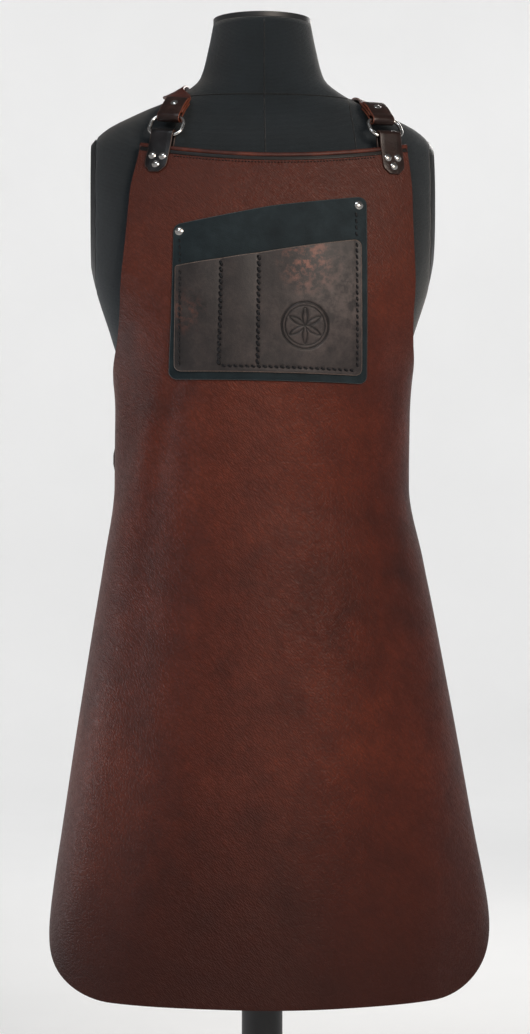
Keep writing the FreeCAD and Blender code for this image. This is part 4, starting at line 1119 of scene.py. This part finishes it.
def make_form():
    rows, columns = 150, 176
    z = np.linspace(FORM_BOTTOM, FORM_TOP, rows)[:, None]
    half, front, back, square = [interpolate(FORM_SECTIONS, z, i) for i in range(1, 5)]
    angle = (2 * pi * np.arange(columns) / columns)[None, :]
    depth = np.where(np.sin(angle) >= 0, back, -front)
    x = np.clip(half * signed_power(np.cos(angle), 2 / square), -ARM_PLANE, ARM_PLANE)
    y = depth * signed_power(np.sin(angle), 2 / square)
    body = np.stack([x, y, np.broadcast_to(z, x.shape)], axis=-1)
    rings = [body[0] * [0.35, 0.35, 1.0], body[0] * [0.96, 0.96, 1.0]]
    first = body[0].copy()
    first[:, 2] += 2.0
    body[0] = first
    top = body[-1] * [0.5, 0.5, 1.0]
    points = np.vstack([rings[0], rings[1], body.reshape(-1, 3), top])
    total = rows + 3
    faces = grid_faces(total, columns, wrap_columns=True) + end_faces(total, columns)
    form = make_object("form_cloth", points, faces, [CLOTH])
    parts = []
    heights = np.linspace(FORM_BOTTOM + 3, 1350, 130)
    for back in (False, True):
        zs = np.linspace(FORM_BOTTOM + 3, FORM_TOP - 3, 150)
        parts.append(make_tube(form_point(np.zeros(len(zs)), zs, back), 0.8))
        for side in (-1, 1):
            xs = side * np.interp(heights, [720, 947, 1163, 1260, 1350], [82, 62, 88, 96, 88])
            parts.append(make_tube(form_point(xs, heights, back), 0.8))
    ring_angles = np.linspace(0, 2 * pi, 121)[:-1]
    for level in (1349.0, 947.0):
        half, front, rear, square = [float(interpolate(FORM_SECTIONS, level, i)) for i in range(1, 5)]
        depth = np.where(np.sin(ring_angles) >= 0, rear, -front)
        line = np.stack([half * signed_power(np.cos(ring_angles), 2 / square),
                         depth * signed_power(np.sin(ring_angles), 2 / square), np.full(120, level)], axis=-1)
        parts.append(make_tube(np.vstack([line, line[:1]]), 0.9))
    seams = make_object("form_seams", *gather(parts), [PIPING])
    return form, seams


# ---------------------------------------------------------------- put it together

def put(piece, body, slot, *replaced):
    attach(piece, body)
    if replaced:
        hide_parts(*replaced)
    return piece


def build():
    dress_nodes()
    form, seams = make_form()
    put(form, "form", "black_cloth", "dress_form")
    put(seams, "form", "black_cloth")

    panel = put(make_panel(), "form", "brown_leather", "apron_panel")
    lip = put(edge_strip("bib_lip", 1.4, 2.3, LEATHER / 2, 4.7, [LIP, LIP], rounding=1.6), "form", "brown_leather")
    # a near-black strip just below the lip, a painted shadow standing in for the lip's overhang
    painted_lip_shadow = edge_strip("bib_painted_lip_shadow", 5.4, 1.9, LEATHER + 0.35, 0.9, [BLACK_PAINTED_LIP_SHADOW, BLACK_PAINTED_LIP_SHADOW], 0.99, 0.35)
    put(painted_lip_shadow, "form", "black_leather")
    facing = edge_strip("bib_facing", 8.0, 6.2, -1.1, 1.5, [DARK, DARK_EDGE], FACING_REACH)
    put(facing, "form", "tan_leather", "top_facing")
    edge_stitches = put(make_top_stitches(), "form", "brown_leather")
    backing, front, stitches = make_pocket()
    put(backing, "form", "black_leather", "pocket_back")
    put(front, "form", "worn_leather", "pocket_front")
    put(stitches, "form", "black_leather")

    starts, ends = {}, {}
    for side, grain in (("left", NEAR_BLACK), ("right", DARK)):
        where = chest_frame(side)
        path = tab_path(TAB_BACK_LENGTH, TAB_BACK_GAP)
        tab = make_folded("tab_" + side, where, path, LOOP_THICK, [grain, DARK_EDGE], TAB_CLIP)
        put(tab, "form", "dark_leather", "chest_tab_" + side)
        ring = where.leaned(CHEST_TILT[side])
        start = Frame(ring.at(RING_HEIGHT, 0), ring.up, ring.out)
        loop = make_folded("loop_" + side, start, loop_path(CHEST_LOOP_LENGTH, SHOULDER_RADIUS), LOOP_THICK,
                           [DARK, TAN_EDGE])
        put(loop, "form", "dark_leather", "chest_loop_" + side)
        starts[side] = start
    for side, sign in (("left", -1), ("right", 1)):
        ring_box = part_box("waist_ring_" + side)
        ring_middle = np.array((ring_box[0] + ring_box[1]) / 2) / MM
        flat = waist_frame(sign, 0.0)
        lean = flat.leaned(WAIST_LEAN)
        reach = float(np.dot(ring_middle - lean.up * RING_HEIGHT / 2 - flat.origin, flat.up))
        where = waist_frame(sign, reach)
        path = tab_path(WAIST_BACK_LENGTH, WAIST_BACK_GAP)
        tab = make_folded("waist_tab_" + side + "_leather", where, path, LOOP_THICK, [DARK, DARK_EDGE], TAB_CLIP)
        put(tab, "form", "dark_leather", "waist_tab_" + side)
        ring = where.leaned(WAIST_LEAN)
        end = ring.leaned(WAIST_LEAN)
        end.origin = ring.at(RING_HEIGHT, 0)
        loop = make_folded("waist_loop_" + side + "_leather", end, loop_path(WAIST_LOOP_LENGTH, WAIST_LOOP_RADIUS),
                           LOOP_THICK, [DARK, TAN_EDGE])
        put(loop, "form", "dark_leather", "waist_loop_" + side)
        ends[side] = end
    for side, far in (("right", "left"), ("left", "right")):
        strap, place = make_strap("strap_" + side, starts[side], ends[far], GUIDES[side], side == "right",
                                  "strap_keeper_" + far)
        put(strap, "form", "tan_leather", "shoulder_strap_" + side)
        keeper = make_keeper("keeper_" + far, place)
        put(keeper, "keeper_" + far, "dark_leather", "strap_keeper_" + far)


# ---------------------------------------------------------------- studio

def make_studio():
    """A pale round bowl: a flat floor that rises smoothly into a wall far behind and all round."""
    s = Shader("pale_floor", Roughness=0.85, Specular_IOR_Level=0.1, Emission_Color=(1, 1, 1, 1),
               Emission_Strength=0.12)
    speckle = s.noise(0.9, 4.0, 0.6)
    s.set("Base Color", s.ramp(speckle, [(0.3, (0.84, 0.84, 0.84)), (0.7, (0.88, 0.88, 0.88))]))
    profile = [(0.0, 0.0), (2.0, 0.0), (5.0, 0.0)]
    profile += [(5.0 + 2.5 * sin(a), 2.5 - 2.5 * cos(a)) for a in np.linspace(0, pi / 2, 14)[1:]]
    profile += [(7.5, 4.2)]
    around = 96
    points = []
    for radius, z in profile:
        for k in range(around):
            angle = 2 * pi * k / around
            points.append(((radius + 0.001) * cos(angle) / MM, (radius + 0.001) * sin(angle) / MM, z / MM))
    floor = make_object("studio_floor", points, grid_faces(len(profile), around, wrap_columns=True), [s.material])

    def area(name, place, aim, size, power, colour):
        light = bpy.data.lights.new(name, "AREA")
        light.shape = "RECTANGLE"
        light.size, light.size_y = size
        light.energy = power
        light.color = colour
        lamp = bpy.data.objects.new(name, light)
        lamp.location = place
        lamp.visible_camera = False
        lamp.rotation_euler = (Vector(aim) - Vector(place)).to_track_quat("-Z", "Y").to_euler()
        bpy.context.scene.collection.objects.link(lamp)

    area("key", (0.6, -1.5, 1.7), (0.03, -0.1, 0.95), (0.55, 0.55), 19, (1.0, 0.88, 0.77))
    area("window_left", (-0.78, 0.1, 0.75), (-0.15, 0.0, 0.75), (0.12, 0.34), 2.1, (0.94, 0.96, 1.0))
    area("sky_front", (-0.7, -1.6, 3.2), (0.0, 0.0, 1.25), (1.0, 0.7), 16, (0.86, 0.93, 1.0))
    area("rim_back", (1.2, 2.6, 2.4), (0.0, 0.0, 1.1), (1.4, 1.0), 40, (1.0, 0.98, 0.95))
    area("wall_left", (-2.2, 3.4, 3.4), (0.3, 7.0, 1.2), (2.0, 1.2), 60, (1.0, 1.0, 1.0))
    area("wall_right", (2.2, 3.4, 3.4), (-0.3, 7.0, 1.2), (2.0, 1.2), 60, (1.0, 1.0, 1.0))

    world = bpy.data.worlds.new("studio_air")
    bpy.context.scene.world = world
    world.use_nodes = True
    background = world.node_tree.nodes["Background"]
    background.inputs["Color"].default_value = (1.0, 1.0, 1.0, 1.0)
    background.inputs["Strength"].default_value = 0.1
    bpy.context.scene.view_settings.view_transform = "Standard"


def make_camera():
    distance, turn, height = 2.5, radians(2.5), 0.915
    target = Vector((0.003, 0.0, height))
    data = bpy.data.cameras.new("camera")
    data.sensor_fit = "VERTICAL"
    data.angle = radians(24.4)
    data.clip_end = 60.0
    camera = bpy.data.objects.new("camera", data)
    camera.location = target + Vector((-distance * sin(turn), -distance * cos(turn), 0.0))
    camera.rotation_euler = (target - camera.location).to_track_quat("-Z", "Y").to_euler()
    bpy.context.scene.collection.objects.link(camera)
    bpy.context.scene.camera = camera


make_camera()
build()
make_studio()
